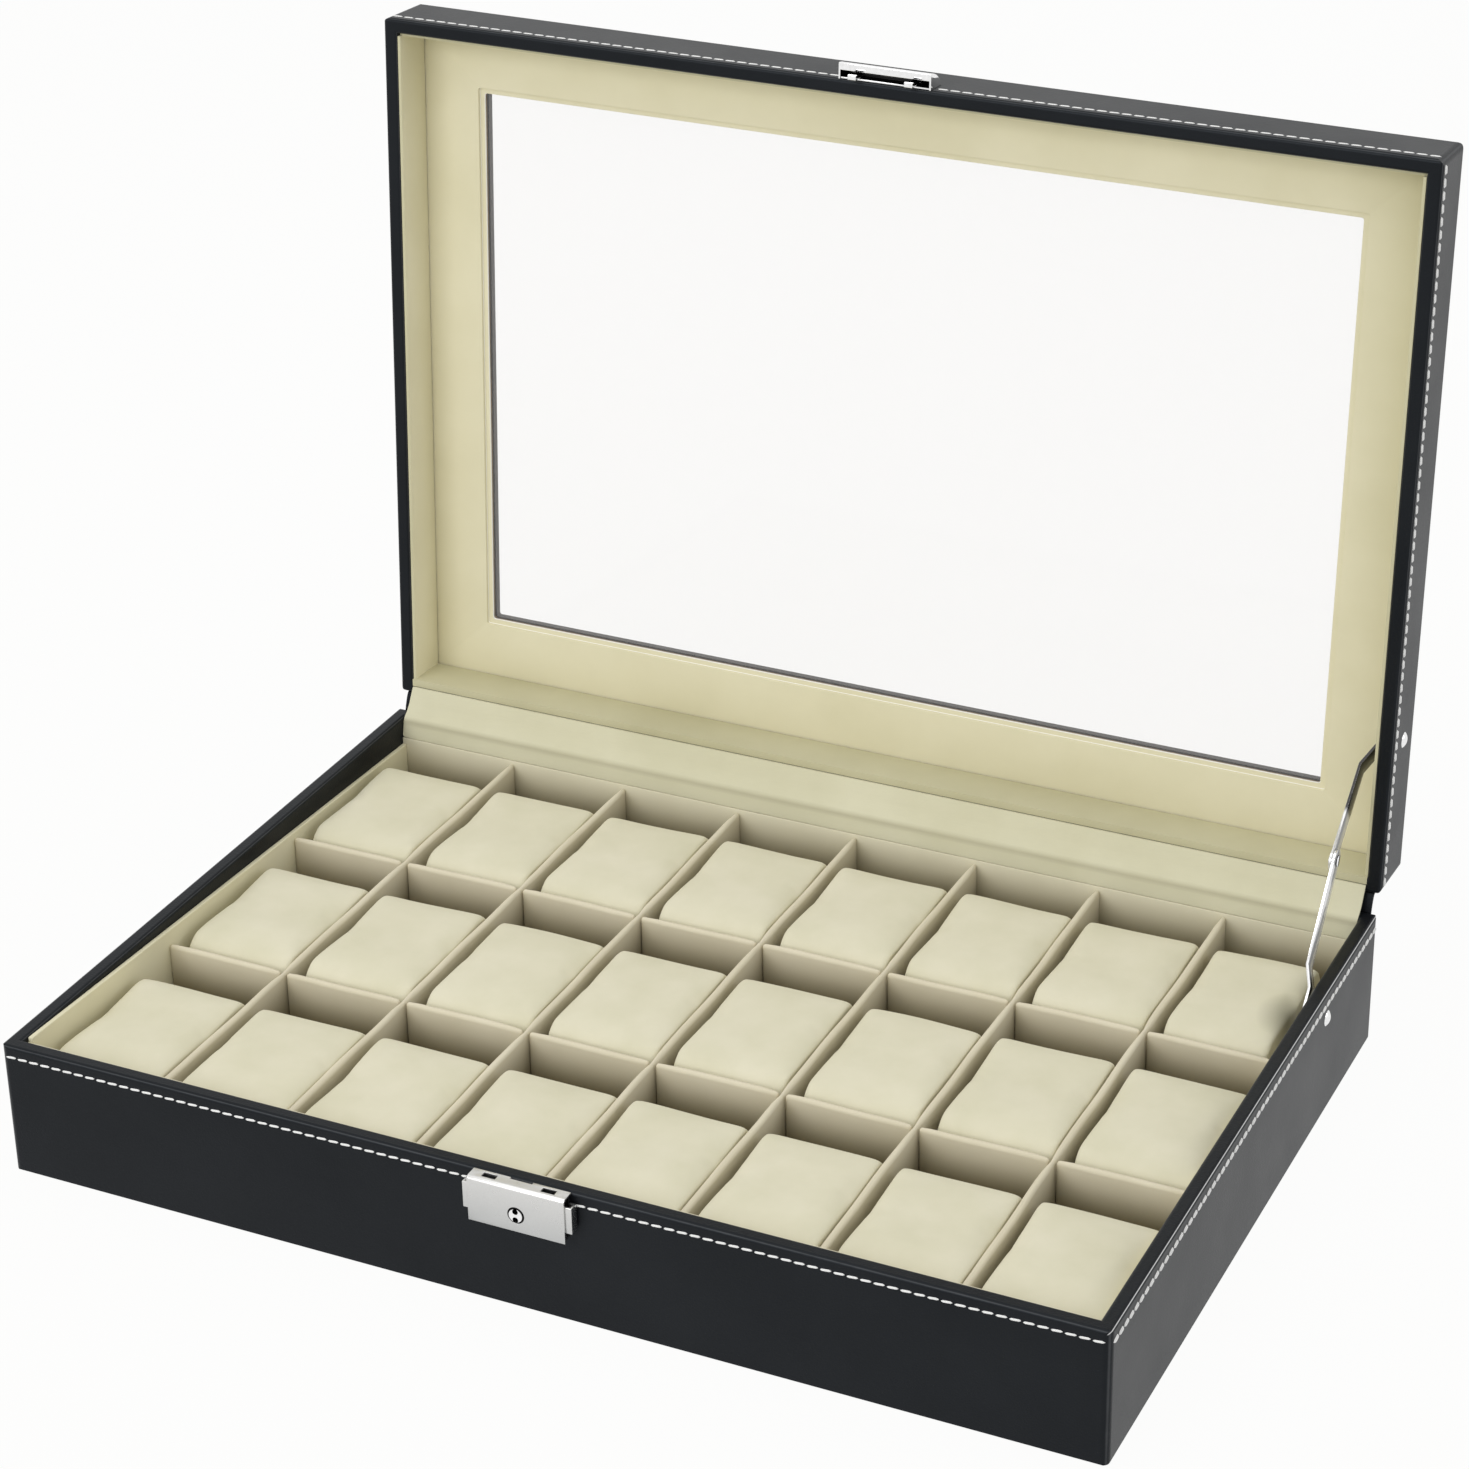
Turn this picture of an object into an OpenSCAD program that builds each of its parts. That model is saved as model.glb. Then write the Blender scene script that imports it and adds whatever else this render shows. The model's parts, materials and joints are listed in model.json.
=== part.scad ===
// Watch box with twenty-four compartments and a glazed lid.
// The origin is the middle of the underside; +X is to the right, +Y to the back and +Z up.
// The lid is modelled shut, in case coordinates, and then swung open about its hinge line.

/* [Case] */
// Outside width of the case, left to right
box_w = 450; // [360:1:540]
// Outside depth of the case, front to back
box_d = 303; // [240:1:360]
// Height of the base, from the table to its rim
base_h = 56.6; // [54:0.1:75]
// Thickness of the wall boards
wall_board = 4.6; // [3.5:0.1:7]
// Thickness of the bottom board
bottom_board = 4; // [3:0.1:6]
// Thickness of the leather skin
leather_t = 0.8; // [0.5:0.05:1.2]
// Outside radius of the upright corners
corner_r = 3; // [2:0.1:6]
// Radius of the rounded arrises along the rims
rim_r = 1.5; // [1:0.1:2.2]
// Depth to which the leather is turned down inside the walls
turn_in = 15; // [12:0.5:18]

/* [Lid] */
// Height of the lid
lid_h = 28; // [26:0.5:36]
// Angle at which the lid stands open
open_angle = 93.7; // [85:0.1:100]
// Gap between the two rims when the lid is shut
rim_gap = 0.6; // [0.4:0.1:1]
// Distance of the hinge line behind the back wall
hinge_back = 4.4; // [3:0.1:6]
// Height of the hinge line above the base's rim
hinge_up = 2.8; // [2:0.1:4]
// Width of the window border at the two sides
border_side = 35; // [28:0.5:45]
// Width of the window border at the front and back
border_end = 33; // [28:0.5:45]
// Thickness of the lid's frame board
frame_board = 4.2; // [3.6:0.1:5]
// Thickness of the window glass
glass_t = 2; // [1.5:0.1:2.5]
// Width of glass held behind the border
glass_hold = 8; // [5:0.5:10]
// Thickness of the padded mat inside the lid
mat_t = 2.3; // [1.5:0.1:3]
// How much wider than the window the mat's opening is, on each side
mat_reveal = 2.5; // [1:0.1:4]

/* [Lining] */
// Thickness of the side lining boards
side_lining_t = 2; // [1.5:0.1:3]
// Thickness of the front and back lining boards
end_lining_t = 3; // [2:0.1:4]
// Thickness of the lid's lining boards
lid_lining_t = 1.2; // [0.8:0.1:2]
// Thickness of the floor lining
floor_lining_t = 1.2; // [0.8:0.1:2]
// Thickness of the cover under the bottom board
bottom_cover_t = 0.8; // [0.5:0.1:1.5]
// Distance from the rim down to the left lining's front end and to the lid's linings
lining_drop = 0.6; // [0.4:0.1:2]
// Distance from the rim to the edges of the front linings, in the base and in the lid
front_drop = 2.6; // [2:0.1:5]
// Distance from the rim down to the front end of the right lining's top
right_drop = 5.1; // [4.4:0.1:7]

/* [Compartments] */
// Number of compartments from left to right
columns = 8; // [4:1:8]
// Number of compartments from front to back
rows = 3; // [2:1:3]
// Thickness of the padded dividers
divider_t = 3; // [2.4:0.1:4]
// Distance from the rim down to the dividers' tops
divider_drop = 12.1; // [10.6:0.1:16]
// Play between two dividers in their half-lap slots
slot_play = 0.1; // [0.05:0.01:0.2]

/* [Pillows] */
// Height of a pillow
pillow_h = 41.5; // [34:0.5:42]
// Gap at each end of a pillow
pillow_end_gap = 2.3; // [2:0.1:5]
// Gap in front of a pillow
pillow_front_gap = 0.6; // [0.3:0.1:2]
// Room behind a pillow for the strap of a watch
strap_room = 20; // [16:0.5:26]
// Radius of a pillow's upper front edge
pillow_front_r = 11; // [6:0.5:14]
// Radius of a pillow's upper back edge
pillow_back_r = 9; // [6:0.5:12]
// Radius of a pillow's lower edges
pillow_foot_r = 7; // [4:0.5:10]

/* [Stay] */
// Distance of the stay's lower pivot from the middle of the case towards the back
stay_base_y = 87; // [80:0.5:95]
// Depth of the stay's lower pivot below the rim
stay_base_drop = 12; // [11:0.1:13]
// Distance of the stay's upper pivot from the lid's back face
stay_lid_in = 62.3; // [60:0.1:65]
// Height of the stay's upper pivot above the lid's rim
stay_lid_up = 14.8; // [13:0.1:15]
// Distance of the knee from the lower pivot, along the line between the two pivots
knee_along = 61.4; // [58:0.1:64]
// How far the knee is bent forwards out of that line
knee_bow = 6; // [5:0.1:9]
// How far the lower arm is cranked in from its end against the wall
arm_crank = 3; // [2.4:0.1:3.4]
// Width of the arms
arm_w = 6.2; // [5:0.1:6.4]
// Radius of the arms' round ends
arm_eye_r = 3.6; // [3.3:0.1:3.8]
// Thickness of the arms
arm_t = 1; // [0.8:0.05:1.1]
// Radius of the rivet shanks
rivet_r = 1.3; // [1:0.05:1.6]
// Running clearance of a rivet in an arm, on the radius
rivet_play = 0.05; // [0.02:0.01:0.1]
// Radius of the domed rivet heads outside the case
dome_r = 3.2; // [2.5:0.1:4]
// Height of the domed rivet heads
dome_h = 1.3; // [0.8:0.1:2]
// Radius of the flat rivet heads on the arms
head_r = 2.4; // [2:0.1:3]
// Thickness of the flat rivet heads
head_t = 0.7; // [0.5:0.1:1]

/* [Lock] */
// Width of the lock's cover
lock_w = 39.4; // [36:0.2:44]
// Height of the lock's cover
lock_h = 18.6; // [17:0.1:22]
// Depth of the lock in front of the wall
lock_d = 6; // [5.6:0.1:8]
// Thickness of the lock's sheet metal
sheet_t = 0.8; // [0.6:0.05:1]
// Radius of the bend along the cover's top
bend_r = 1.6; // [1.2:0.1:2]
// Distance of the two hooks from the middle of the lock
hook_x = 12; // [11:0.1:13]
// Width of a hook
hook_w = 3.6; // [3:0.1:4]
// Length of the slots in the cover's top
slot_w = 5.6; // [5.2:0.1:6.4]
// How far the side buttons stand out of the cover
button_out = 2.5; // [2:0.1:3]
// Height of the side buttons
button_h = 11; // [9:0.2:12]
// Travel of the side buttons
button_travel = 2; // [1.5:0.1:2]
// Radius of the key cylinder
cylinder_r = 3.2; // [2.8:0.1:3.4]
// Height of the key cylinder above the lock's lower edge
cylinder_up = 7; // [6:0.1:8]
// Length of the catch on the lid, up from the lid's rim
catch_len = 10.8; // [10.4:0.1:11]

/* [Hidden] */
wall_t = wall_board + 2 * leather_t;
inner_w = box_w - 2 * wall_t;
inner_d = box_d - 2 * wall_t;
lined_w = inner_w - 2 * side_lining_t;
lined_d = inner_d - 2 * end_lining_t;
back_y = box_d / 2;
front_y = -box_d / 2;
floor_z = bottom_cover_t + bottom_board + floor_lining_t;
board_floor_z = bottom_cover_t + bottom_board;

shut_z = base_h + rim_gap;
hinge_y = back_y + hinge_back;
hinge_z = base_h + hinge_up;
mat_z = lid_h - leather_t - frame_board - mat_t;
mat_lip_t = 0.8;
lid_lap_t = 0.4;
lid_seam_in = wall_t - 1.8;
lid_lap_w = 1.8 + lid_lining_t / 2;
window_w = box_w - 2 * border_side;
window_d = box_d - 2 * border_end;
window_r = 1;
glass_play = 0.4;
glass_w = window_w + 2 * glass_hold;
glass_d = window_d + 2 * glass_hold;

cell_w = (lined_w - (columns - 1) * divider_t) / columns;
cell_d = (lined_d - (rows - 1) * divider_t) / rows;
pitch_x = cell_w + divider_t;
pitch_y = cell_d + divider_t;
divider_top = base_h - divider_drop;
divider_h = divider_top - floor_z;
slot_z = floor_z + divider_h / 2;
cloth_t = 0.8;
cloth_edge_z = divider_top + 1;

pillow_w = cell_w - 2 * pillow_end_gap;
pillow_d = cell_d - pillow_front_gap - strap_room;
seat_gap = 0.3;

arm_gap = 0.2;
wall_face_x = lined_w / 2;
arm_out_x = wall_face_x - arm_gap;
lower_in_x = arm_out_x - arm_crank;
upper_in_x = lower_in_x - arm_t - arm_gap;
lower_crank = [10, 18.5];
upper_crank = [6, 15.5];
stay_pillow_x = lower_in_x - arm_t - 0.5;
right_lining_low = base_h - stay_base_drop + 1.2;
stay_base = [stay_base_y, base_h - stay_base_drop];
stay_lid_shut = [back_y - stay_lid_in, shut_z + stay_lid_up];
stay_lid = swung(stay_lid_shut, -open_angle);
stay_dir = (stay_lid - stay_base) / norm(stay_lid - stay_base);
knee = stay_base + knee_along * stay_dir + knee_bow * [-stay_dir[1], stay_dir[0]];
lower_arm_len = norm(knee - stay_base);
upper_arm_len = norm(stay_lid - knee);
lower_angle = atan2(knee[1] - stay_base[1], knee[0] - stay_base[0]);
upper_angle = atan2(stay_lid[1] - knee[1], stay_lid[0] - knee[0]);

lock_top_z = base_h;
lock_low_z = lock_top_z - lock_h;
lock_face_y = front_y - lock_d;
lock_play = 0.2;
hook_t = 1;
barb_out = 1;
barb_h = 1.4;
hook_drop = 4.6;
hook_y = front_y - 2.4;
slot_gap = 0.3;
slot_d = hook_t + barb_out + 2 * slot_gap;
slot_y = hook_y - barb_out - slot_gap;
button_t = 1;
button_z = lock_low_z + 4.2;
plate_y = lock_face_y + sheet_t + lock_play;
plate_in = cylinder_r + button_travel + 0.6;
tab_d = front_y - sheet_t - lock_play - plate_y;
latch_t = 0.8;
latch_w = 1.6;
latch_x = hook_x - hook_w / 2 + lock_play;
latch_z = shut_z - hook_drop + barb_h + seat_gap;
cylinder_z = lock_low_z + cylinder_up;
keyway_r = 1.2;
catch_r = 12;
catch_d = lock_d + 0.6;
keyhole_play = 0.2;
spring_r = 1.5;
spring_z = cylinder_z + cylinder_r + spring_r + 1;

pad = 1;
$fn = 48;

// A point of the lid (y, z), turned about the hinge line by angle a
function swung(p, a) = [
    hinge_y + (p[0] - hinge_y) * cos(a) - (p[1] - hinge_z) * sin(a),
    hinge_z + (p[0] - hinge_y) * sin(a) + (p[1] - hinge_z) * cos(a)
];

black = [0.11, 0.115, 0.12];
cream = [0.87, 0.83, 0.7];
chrome = [0.8, 0.8, 0.79];
board = [0.62, 0.48, 0.33];

// ---- General shapes -------------------------------------------------------

// Everything on the lid, from its shut place to its open one
module opened() {
    translate([0, hinge_y, hinge_z])
        rotate([-open_angle, 0, 0])
            translate([0, -hinge_y, -hinge_z])
                children();
}

// A flat rectangle about the origin with round corners
module round_rect(w, d, r) {
    square([w - 2 * r, d], center = true);
    square([w, d - 2 * r], center = true);
    for (x = [-1, 1], y = [-1, 1])
        translate([x * (w / 2 - r), y * (d / 2 - r)])
            circle(r);
}

// The waste at a corner of a square when it is rounded to radius r; the corner is at the origin
module corner_waste(r) {
    difference() {
        translate([-pad, -pad])
            square(r + pad);
        translate([r, r])
            circle(r);
        translate([r, -2 * pad])
            square([pad, r + 3 * pad]);
        translate([-2 * pad, r])
            square([r + 3 * pad, pad]);
    }
}

// An upright section of width w and height h with its upper and lower corners rounded
module soft_section(w, h, top_r, foot_r) {
    difference() {
        translate([-w / 2, 0])
            square([w, h]);
        for (side = [0, 1])
            mirror([side, 0]) {
                translate([-w / 2, h])
                    mirror([0, 1])
                        corner_waste(top_r);
                translate([-w / 2, 0])
                    corner_waste(foot_r);
            }
    }
}

// A block that stands on z = 0, with round upright corners and rounded arrises
module soft_block(w, d, h, top_r, foot_r) {
    intersection() {
        linear_extrude(h)
            round_rect(w, d, corner_r);
        rotate([90, 0, 90])
            linear_extrude(w, center = true)
                soft_section(d, h, top_r, foot_r);
        rotate([90, 0, 0])
            linear_extrude(d, center = true)
                soft_section(w, h, top_r, foot_r);
    }
}

// The section of a hollow of width w that flares by radius r at its mouth, height h
module flared_section(w, h, r) {
    translate([-w / 2, -pad])
        square([w, h + 2 * pad]);
    for (side = [0, 1])
        mirror([side, 0])
            difference() {
                translate([w / 2 - pad, h - r])
                    square([r + pad, r + pad]);
                translate([w / 2 + r, h - r])
                    circle(r);
            }
}

// A hollow from z = 0 up to its flared mouth at z = h
module flared_hollow(w, d, h, r) {
    intersection() {
        rotate([90, 0, 90])
            linear_extrude(w + 4 * r, center = true)
                flared_section(d, h, r);
        rotate([90, 0, 0])
            linear_extrude(d + 4 * r, center = true)
                flared_section(w, h, r);
    }
}

// A rectangular prism about the z axis, from z = low to z = high
module prism(w, d, low, high) {
    translate([-w / 2, -d / 2, low])
        cube([w, d, high - low]);
}

// A cylinder along +X that starts at x
module x_rod(x, y, z, r, length) {
    translate([x, y, z])
        rotate([0, 90, 0])
            cylinder(r = r, h = length);
}

// ---- Base -----------------------------------------------------------------

// The boards' outside, with the round corners that the leather leaves them
module board_block(low, high) {
    translate([0, 0, low])
        linear_extrude(high - low)
            round_rect(box_w - 2 * leather_t, box_d - 2 * leather_t, corner_r - leather_t);
}

// The hole that the stay's lower rivet passes through
module base_rivet_hole() {
    x_rod(wall_face_x - pad, stay_base[0], stay_base[1], rivet_r, wall_t + side_lining_t + 2 * pad);
}

module base_carcase() {
    color(board)
        difference() {
            board_block(bottom_cover_t, base_h - leather_t);
            prism(inner_w + 2 * leather_t, inner_d + 2 * leather_t, board_floor_z, base_h);
            base_rivet_hole();
        }
}

module base_leather() {
    color(black)
        difference() {
            soft_block(box_w, box_d, base_h, rim_r, leather_t / 2);
            difference() {
                board_block(-pad, base_h - leather_t);
                prism(inner_w + 2 * leather_t, inner_d + 2 * leather_t, base_h - turn_in, base_h);
            }
            flared_hollow(inner_w, inner_d, base_h, rim_r);
            base_rivet_hole();
        }
}

module bottom_cover() {
    color(black)
        board_block(0, bottom_cover_t);
}

module floor_lining() {
    color(cream)
        prism(inner_w, inner_d, board_floor_z, floor_z);
}

// A side lining's outline in (y, z): its top slopes down from the front to the back
module side_lining_outline(front_z, back_z) {
    polygon([
        [-lined_d / 2, floor_z],
        [lined_d / 2, floor_z],
        [lined_d / 2, back_z],
        [-lined_d / 2, front_z]
    ]);
}

module side_lining(side, front_z, back_z) {
    color(cream)
        difference() {
            translate([side * (inner_w - side_lining_t) / 2, 0, 0])
                rotate([90, 0, 90])
                    linear_extrude(side_lining_t, center = true)
                        side_lining_outline(front_z, back_z);
            if (side > 0)
                base_rivet_hole();
        }
}

module end_lining(side, top_z) {
    color(cream)
        translate([-inner_w / 2, side * (inner_d - end_lining_t) / 2 - end_lining_t / 2, floor_z])
            cube([inner_w, end_lining_t, top_z - floor_z]);
}

// ---- Dividers -------------------------------------------------------------

function row_divider_x(i) = -lined_w / 2 + i * pitch_x - divider_t / 2;
function cross_divider_y(i) = -lined_d / 2 + i * pitch_y - divider_t / 2;

// A standing board of the given length along Y, with a rounded top edge
module divider_board(length) {
    rotate([90, 0, 0])
        linear_extrude(length, center = true) {
            translate([-divider_t / 2, floor_z])
                square([divider_t, divider_h - divider_t / 2]);
            translate([0, divider_top - divider_t / 2])
                circle(divider_t / 2);
        }
}

// The cross dividers are slotted from above, for the row dividers
module cross_divider(i) {
    if (i < rows)
        color(cream)
            difference() {
                translate([0, cross_divider_y(i), 0])
                    rotate([0, 0, 90])
                        divider_board(lined_w);
                for (c = [1:columns - 1])
                    translate([row_divider_x(c) - divider_t / 2 - slot_play, -box_d / 2, slot_z])
                        cube([divider_t + 2 * slot_play, box_d, divider_h]);
            }
}

// The row dividers are slotted from below, and their solid upper half fills the other's slot
module row_divider(i) {
    if (i < columns)
        color(cream)
            difference() {
                translate([row_divider_x(i), 0, 0])
                    divider_board(lined_d);
                for (r = [1:rows - 1])
                    translate([-box_w / 2, cross_divider_y(r) - divider_t / 2 - slot_play, 0])
                        cube([box_w, divider_t + 2 * slot_play, slot_z]);
            }
}

// ---- Pillows --------------------------------------------------------------

// The side view of a pillow in (y, z), front at y = 0
module pillow_outline() {
    difference() {
        square([pillow_d, pillow_h]);
        translate([0, pillow_h])
            mirror([0, 1])
                corner_waste(pillow_front_r);
        translate([pillow_d, pillow_h])
            rotate(180)
                corner_waste(pillow_back_r);
        corner_waste(pillow_foot_r);
        translate([pillow_d, 0])
            mirror([1, 0])
                corner_waste(pillow_foot_r);
    }
}

// The pillow of row r, counted from the front, and column c, counted from the left; the one
// beside the stay is short enough to be lifted past the arms
module pillow(r, c) {
    left_x = -lined_w / 2 + (c - 1) * pitch_x + pillow_end_gap;
    beside_stay = r == rows && c == columns;
    if (r <= rows && c <= columns)
        color(cream)
            translate([
                left_x,
                -lined_d / 2 + (r - 1) * pitch_y + pillow_front_gap,
                floor_z + seat_gap
            ])
                rotate([90, 0, 90])
                    linear_extrude(beside_stay ? min(pillow_w, stay_pillow_x - left_x) : pillow_w)
                        pillow_outline();
}

// ---- Lid, in its shut place -----------------------------------------------

module lid_place() {
    opened()
        translate([0, 0, shut_z])
            children();
}

// The hole that the stay's upper rivet passes through, in lid coordinates
module lid_rivet_hole() {
    x_rod(wall_face_x - pad, stay_lid_shut[0], stay_lid_up, rivet_r, wall_t + side_lining_t + 2 * pad);
}

module lid_carcase() {
    color(board)
        lid_place()
            difference() {
                board_block(leather_t, lid_h - leather_t);
                prism(inner_w + 2 * leather_t, inner_d + 2 * leather_t, 0, mat_z + mat_t);
                prism(glass_w + 2 * glass_play, glass_d + 2 * glass_play, 0, mat_z + mat_t + glass_t);
                translate([0, 0, mat_z])
                    linear_extrude(lid_h)
                        round_rect(window_w + 2 * leather_t, window_d + 2 * leather_t,
                                   window_r + leather_t);
                lid_rivet_hole();
            }
}

// The leather of the lid: outside, rim, turned-in edge, top and the lip round the window
module lid_leather() {
    color(black)
        lid_place()
            difference() {
                soft_block(box_w, box_d, lid_h, rim_r, rim_r);
                difference() {
                    board_block(leather_t, lid_h - leather_t);
                    prism(inner_w + 2 * leather_t, inner_d + 2 * leather_t, 0, turn_in);
                    translate([0, 0, mat_z + mat_t + glass_t])
                        linear_extrude(lid_h)
                            round_rect(window_w + 2 * leather_t, window_d + 2 * leather_t,
                                       window_r + leather_t);
                }
                mirror([0, 0, 1])
                    translate([0, 0, -turn_in])
                        flared_hollow(inner_w, inner_d, turn_in, rim_r);
                prism(inner_w, inner_d, -pad, turn_in + pad);
                translate([0, 0, -pad])
                    linear_extrude(lid_h + 2 * pad)
                        round_rect(window_w, window_d, window_r);
                lid_rivet_hole();
            }
}

module window_glass() {
    color([0.9, 0.95, 0.95, 0.3])
        lid_place()
            prism(glass_w, glass_d, mat_z + mat_t, mat_z + mat_t + glass_t);
}

// The padded mat, with a thin lip against the glass that reaches to the window's edge
module lid_mat() {
    color(cream)
        lid_place()
            difference() {
                prism(inner_w, inner_d, mat_z, mat_z + mat_t);
                translate([0, 0, mat_z - pad])
                    linear_extrude(mat_t - mat_lip_t + pad)
                        round_rect(window_w + 2 * mat_reveal, window_d + 2 * mat_reveal, window_r);
                translate([0, 0, mat_z - pad])
                    linear_extrude(mat_t + 2 * pad)
                        round_rect(window_w + 2 * slot_play, window_d + 2 * slot_play, window_r);
            }
}

// Four boards that line the lid's walls; the back one laps over the rim as far as the hinge cloth
module lid_linings() {
    color(cream)
        lid_place()
            difference() {
                union() {
                    for (side = [-1, 1])
                        translate([side * (inner_w - lid_lining_t) / 2, 0, 0])
                            prism(lid_lining_t, inner_d - 2 * lid_lining_t, lining_drop, mat_z);
                    translate([0, -(inner_d - lid_lining_t) / 2, 0])
                        prism(inner_w, lid_lining_t, front_drop, mat_z);
                    translate([0, (inner_d - lid_lining_t) / 2, 0])
                        prism(inner_w, lid_lining_t, -lid_lap_t, mat_z);
                    translate([0, back_y - lid_seam_in - lid_lap_w / 2, 0])
                        prism(inner_w, lid_lap_w, -lid_lap_t, 0);
                }
                lid_rivet_hole();
            }
}

// ---- Hinge ----------------------------------------------------------------

// The lid's back lower arris, and directions along the lid's rim and up its back, when open
lid_edge = swung([back_y, shut_z], -open_angle);
rim_dir = [-cos(open_angle), sin(open_angle)];
back_dir = [sin(open_angle), cos(open_angle)];
hinge_hold = 9;
hinge_bow = 1.6;

// The unit vector at right angles to the path p at point i
function path_normal(p, i) =
    let (a = p[max(0, i - 1)], b = p[min(len(p) - 1, i + 1)])
    [-(b - a)[1], (b - a)[0]] / norm(b - a);

// The strip of thickness t on the left of the path p
function strip(p, t) = concat(
    p,
    [for (i = [len(p) - 1:-1:0]) p[i] + t * path_normal(p, i)]
);

// A smooth curve from a to b that leaves along u and arrives along v, without its ends
function bend(a, u, b, v, n) = [
    for (i = [1:n - 1])
        let (t = i / n, s = 1 - t)
        s * s * s * a + 3 * s * s * t * (a + u) + 3 * s * t * t * (b - v) + t * t * t * b
];

// The leather web, from the base's back face round to the lid's back face
function web_path() =
    let (low = [back_y, base_h - hinge_hold], high = [back_y, base_h - rim_r])
    let (lid_near = lid_edge + rim_r * back_dir, lid_far = lid_edge + hinge_hold * back_dir)
    concat([lid_far, lid_near],
           bend(lid_near, -hinge_bow * back_dir, high, [0, -hinge_bow], 8),
           [high, low]);

// The lining cloth, from the lid's back lining over the base's back wall to the back lining
function cloth_path() =
    let (lid_in = lid_edge + (lid_seam_in - 0.1) * rim_dir - cloth_t * back_dir)
    let (lid_out = lid_edge + 2 * rim_r * rim_dir - cloth_t * back_dir)
    let (top = [inner_d / 2 + rim_r, base_h + cloth_t + 0.3])
    let (face = [inner_d / 2 - cloth_t - 0.4, base_h - 2.4 * rim_r])
    let (foot = [inner_d / 2 - cloth_t - 0.2, cloth_edge_z + 0.2])
    concat([lid_in, lid_out],
           bend(lid_out, -4 * rim_dir, top, [-3, -0.4], 8), [top],
           bend(top, [-2.2, -0.2], face, [0, -2.4], 6), [face],
           bend(face, [0, -2], foot, [0, -2], 6), [foot]);

module cross_strip(width, points) {
    rotate([90, 0, 90])
        linear_extrude(width, center = true)
            polygon(points);
}

module hinge_leather() {
    color(black)
        cross_strip(box_w - 2 * corner_r, strip(web_path(), leather_t));
}

module hinge_cloth() {
    color(cream)
        cross_strip(inner_w - 2 * slot_play, strip(cloth_path(), cloth_t));
}

// ---- Stay -----------------------------------------------------------------

// The narrow view of an arm, (along, across the case): flat at both ends and cranked in between
// the two places in crank
module arm_edge(length, outer_x, inner_x, crank) {
    polygon([
        [-arm_eye_r, outer_x],
        [crank[0], outer_x],
        [crank[1], inner_x],
        [length + arm_eye_r, inner_x],
        [length + arm_eye_r, inner_x - arm_t],
        [crank[1], inner_x - arm_t],
        [crank[0], outer_x - arm_t],
        [-arm_eye_r, outer_x - arm_t]
    ]);
}

// The broad view of an arm: a bar between two round eyes
module arm_face(length) {
    difference() {
        union() {
            for (y = [0, length])
                translate([y, 0])
                    circle(arm_eye_r);
            translate([0, -arm_w / 2])
                square([length, arm_w]);
        }
        for (y = [0, length])
            translate([y, 0])
                circle(rivet_r + rivet_play);
    }
}

// An arm from p at the given angle in the (y, z) plane, its first end against the wall
module arm(p, angle, length, outer_x, inner_x, crank) {
    translate([0, p[0], p[1]])
        rotate([angle, 0, 0])
            intersection() {
                rotate([0, 0, 90])
                    mirror([0, 1, 0])
                        linear_extrude(4 * arm_eye_r, center = true)
                            arm_edge(length, outer_x, inner_x, crank);
                rotate([90, 0, 90])
                    translate([0, 0, inner_x - 2 * arm_t])
                        linear_extrude(outer_x - inner_x + 3 * arm_t)
                            arm_face(length);
            }
}

module stay_lower_arm() {
    color(chrome)
        arm(stay_base, lower_angle, lower_arm_len, arm_out_x, lower_in_x, lower_crank);
}

module stay_upper_arm() {
    color(chrome)
        arm(stay_lid, upper_angle + 180, upper_arm_len, arm_out_x, upper_in_x, upper_crank);
}

// A domed head with its flat face at x = 0, standing out towards +X
module dome() {
    ball_r = (dome_r * dome_r + dome_h * dome_h) / (2 * dome_h);
    rotate([0, 90, 0])
        rotate_extrude()
            intersection() {
                translate([0, dome_h - ball_r])
                    circle(ball_r);
                square([dome_r, dome_h]);
            }
}

// A rivet through the wall: a dome outside and a shank that ends at x = inner_x
module wall_rivet(inner_x) {
    translate([box_w / 2, 0, 0])
        dome();
    x_rod(inner_x, 0, 0, rivet_r, box_w / 2 - inner_x + dome_h / 2);
}

// The shank ends at the lining's face, where the rivet end in the lower arm's eye meets it
module stay_base_rivet() {
    color(chrome)
        translate([0, stay_base[0], stay_base[1]])
            wall_rivet(wall_face_x);
}

// The upper arm's pivot, with its flat head inside the lid
module stay_lid_rivet() {
    head_x = arm_out_x - arm_t - rivet_play;
    color(chrome)
        opened()
            translate([0, stay_lid_shut[0], stay_lid_shut[1]]) {
                wall_rivet(head_x - head_t / 2);
                x_rod(head_x - head_t, 0, 0, head_r, head_t);
            }
}

// The knee's rivet and the rivet end in the lower arm's eye; both go with the lower arm
module stay_knee_rivets() {
    knee_low = upper_in_x - arm_t - rivet_play - head_t;
    knee_high = lower_in_x + rivet_play;
    eye_low = arm_out_x - arm_t - rivet_play - head_t;
    color(chrome) {
        translate([0, knee[0], knee[1]]) {
            x_rod(knee_low, 0, 0, rivet_r, knee_high + head_t - knee_low);
            x_rod(knee_low, 0, 0, head_r, head_t);
            x_rod(knee_high, 0, 0, head_r, head_t);
        }
        translate([0, stay_base[0], stay_base[1]]) {
            x_rod(eye_low, 0, 0, rivet_r, arm_out_x - eye_low);
            x_rod(eye_low, 0, 0, head_r, head_t);
        }
    }
}

// ---- Lock -----------------------------------------------------------------

// The cover's side view in (y, z): a face with a bent-over top
module cover_bend(depth, height, thick) {
    difference() {
        square([depth, height]);
        translate([0, height])
            mirror([0, 1])
                corner_waste(bend_r);
        difference() {
            translate([thick, -pad])
                square([depth + pad, height - thick + pad]);
            translate([thick, height - thick])
                mirror([0, 1])
                    corner_waste(bend_r - thick);
        }
    }
}

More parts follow.
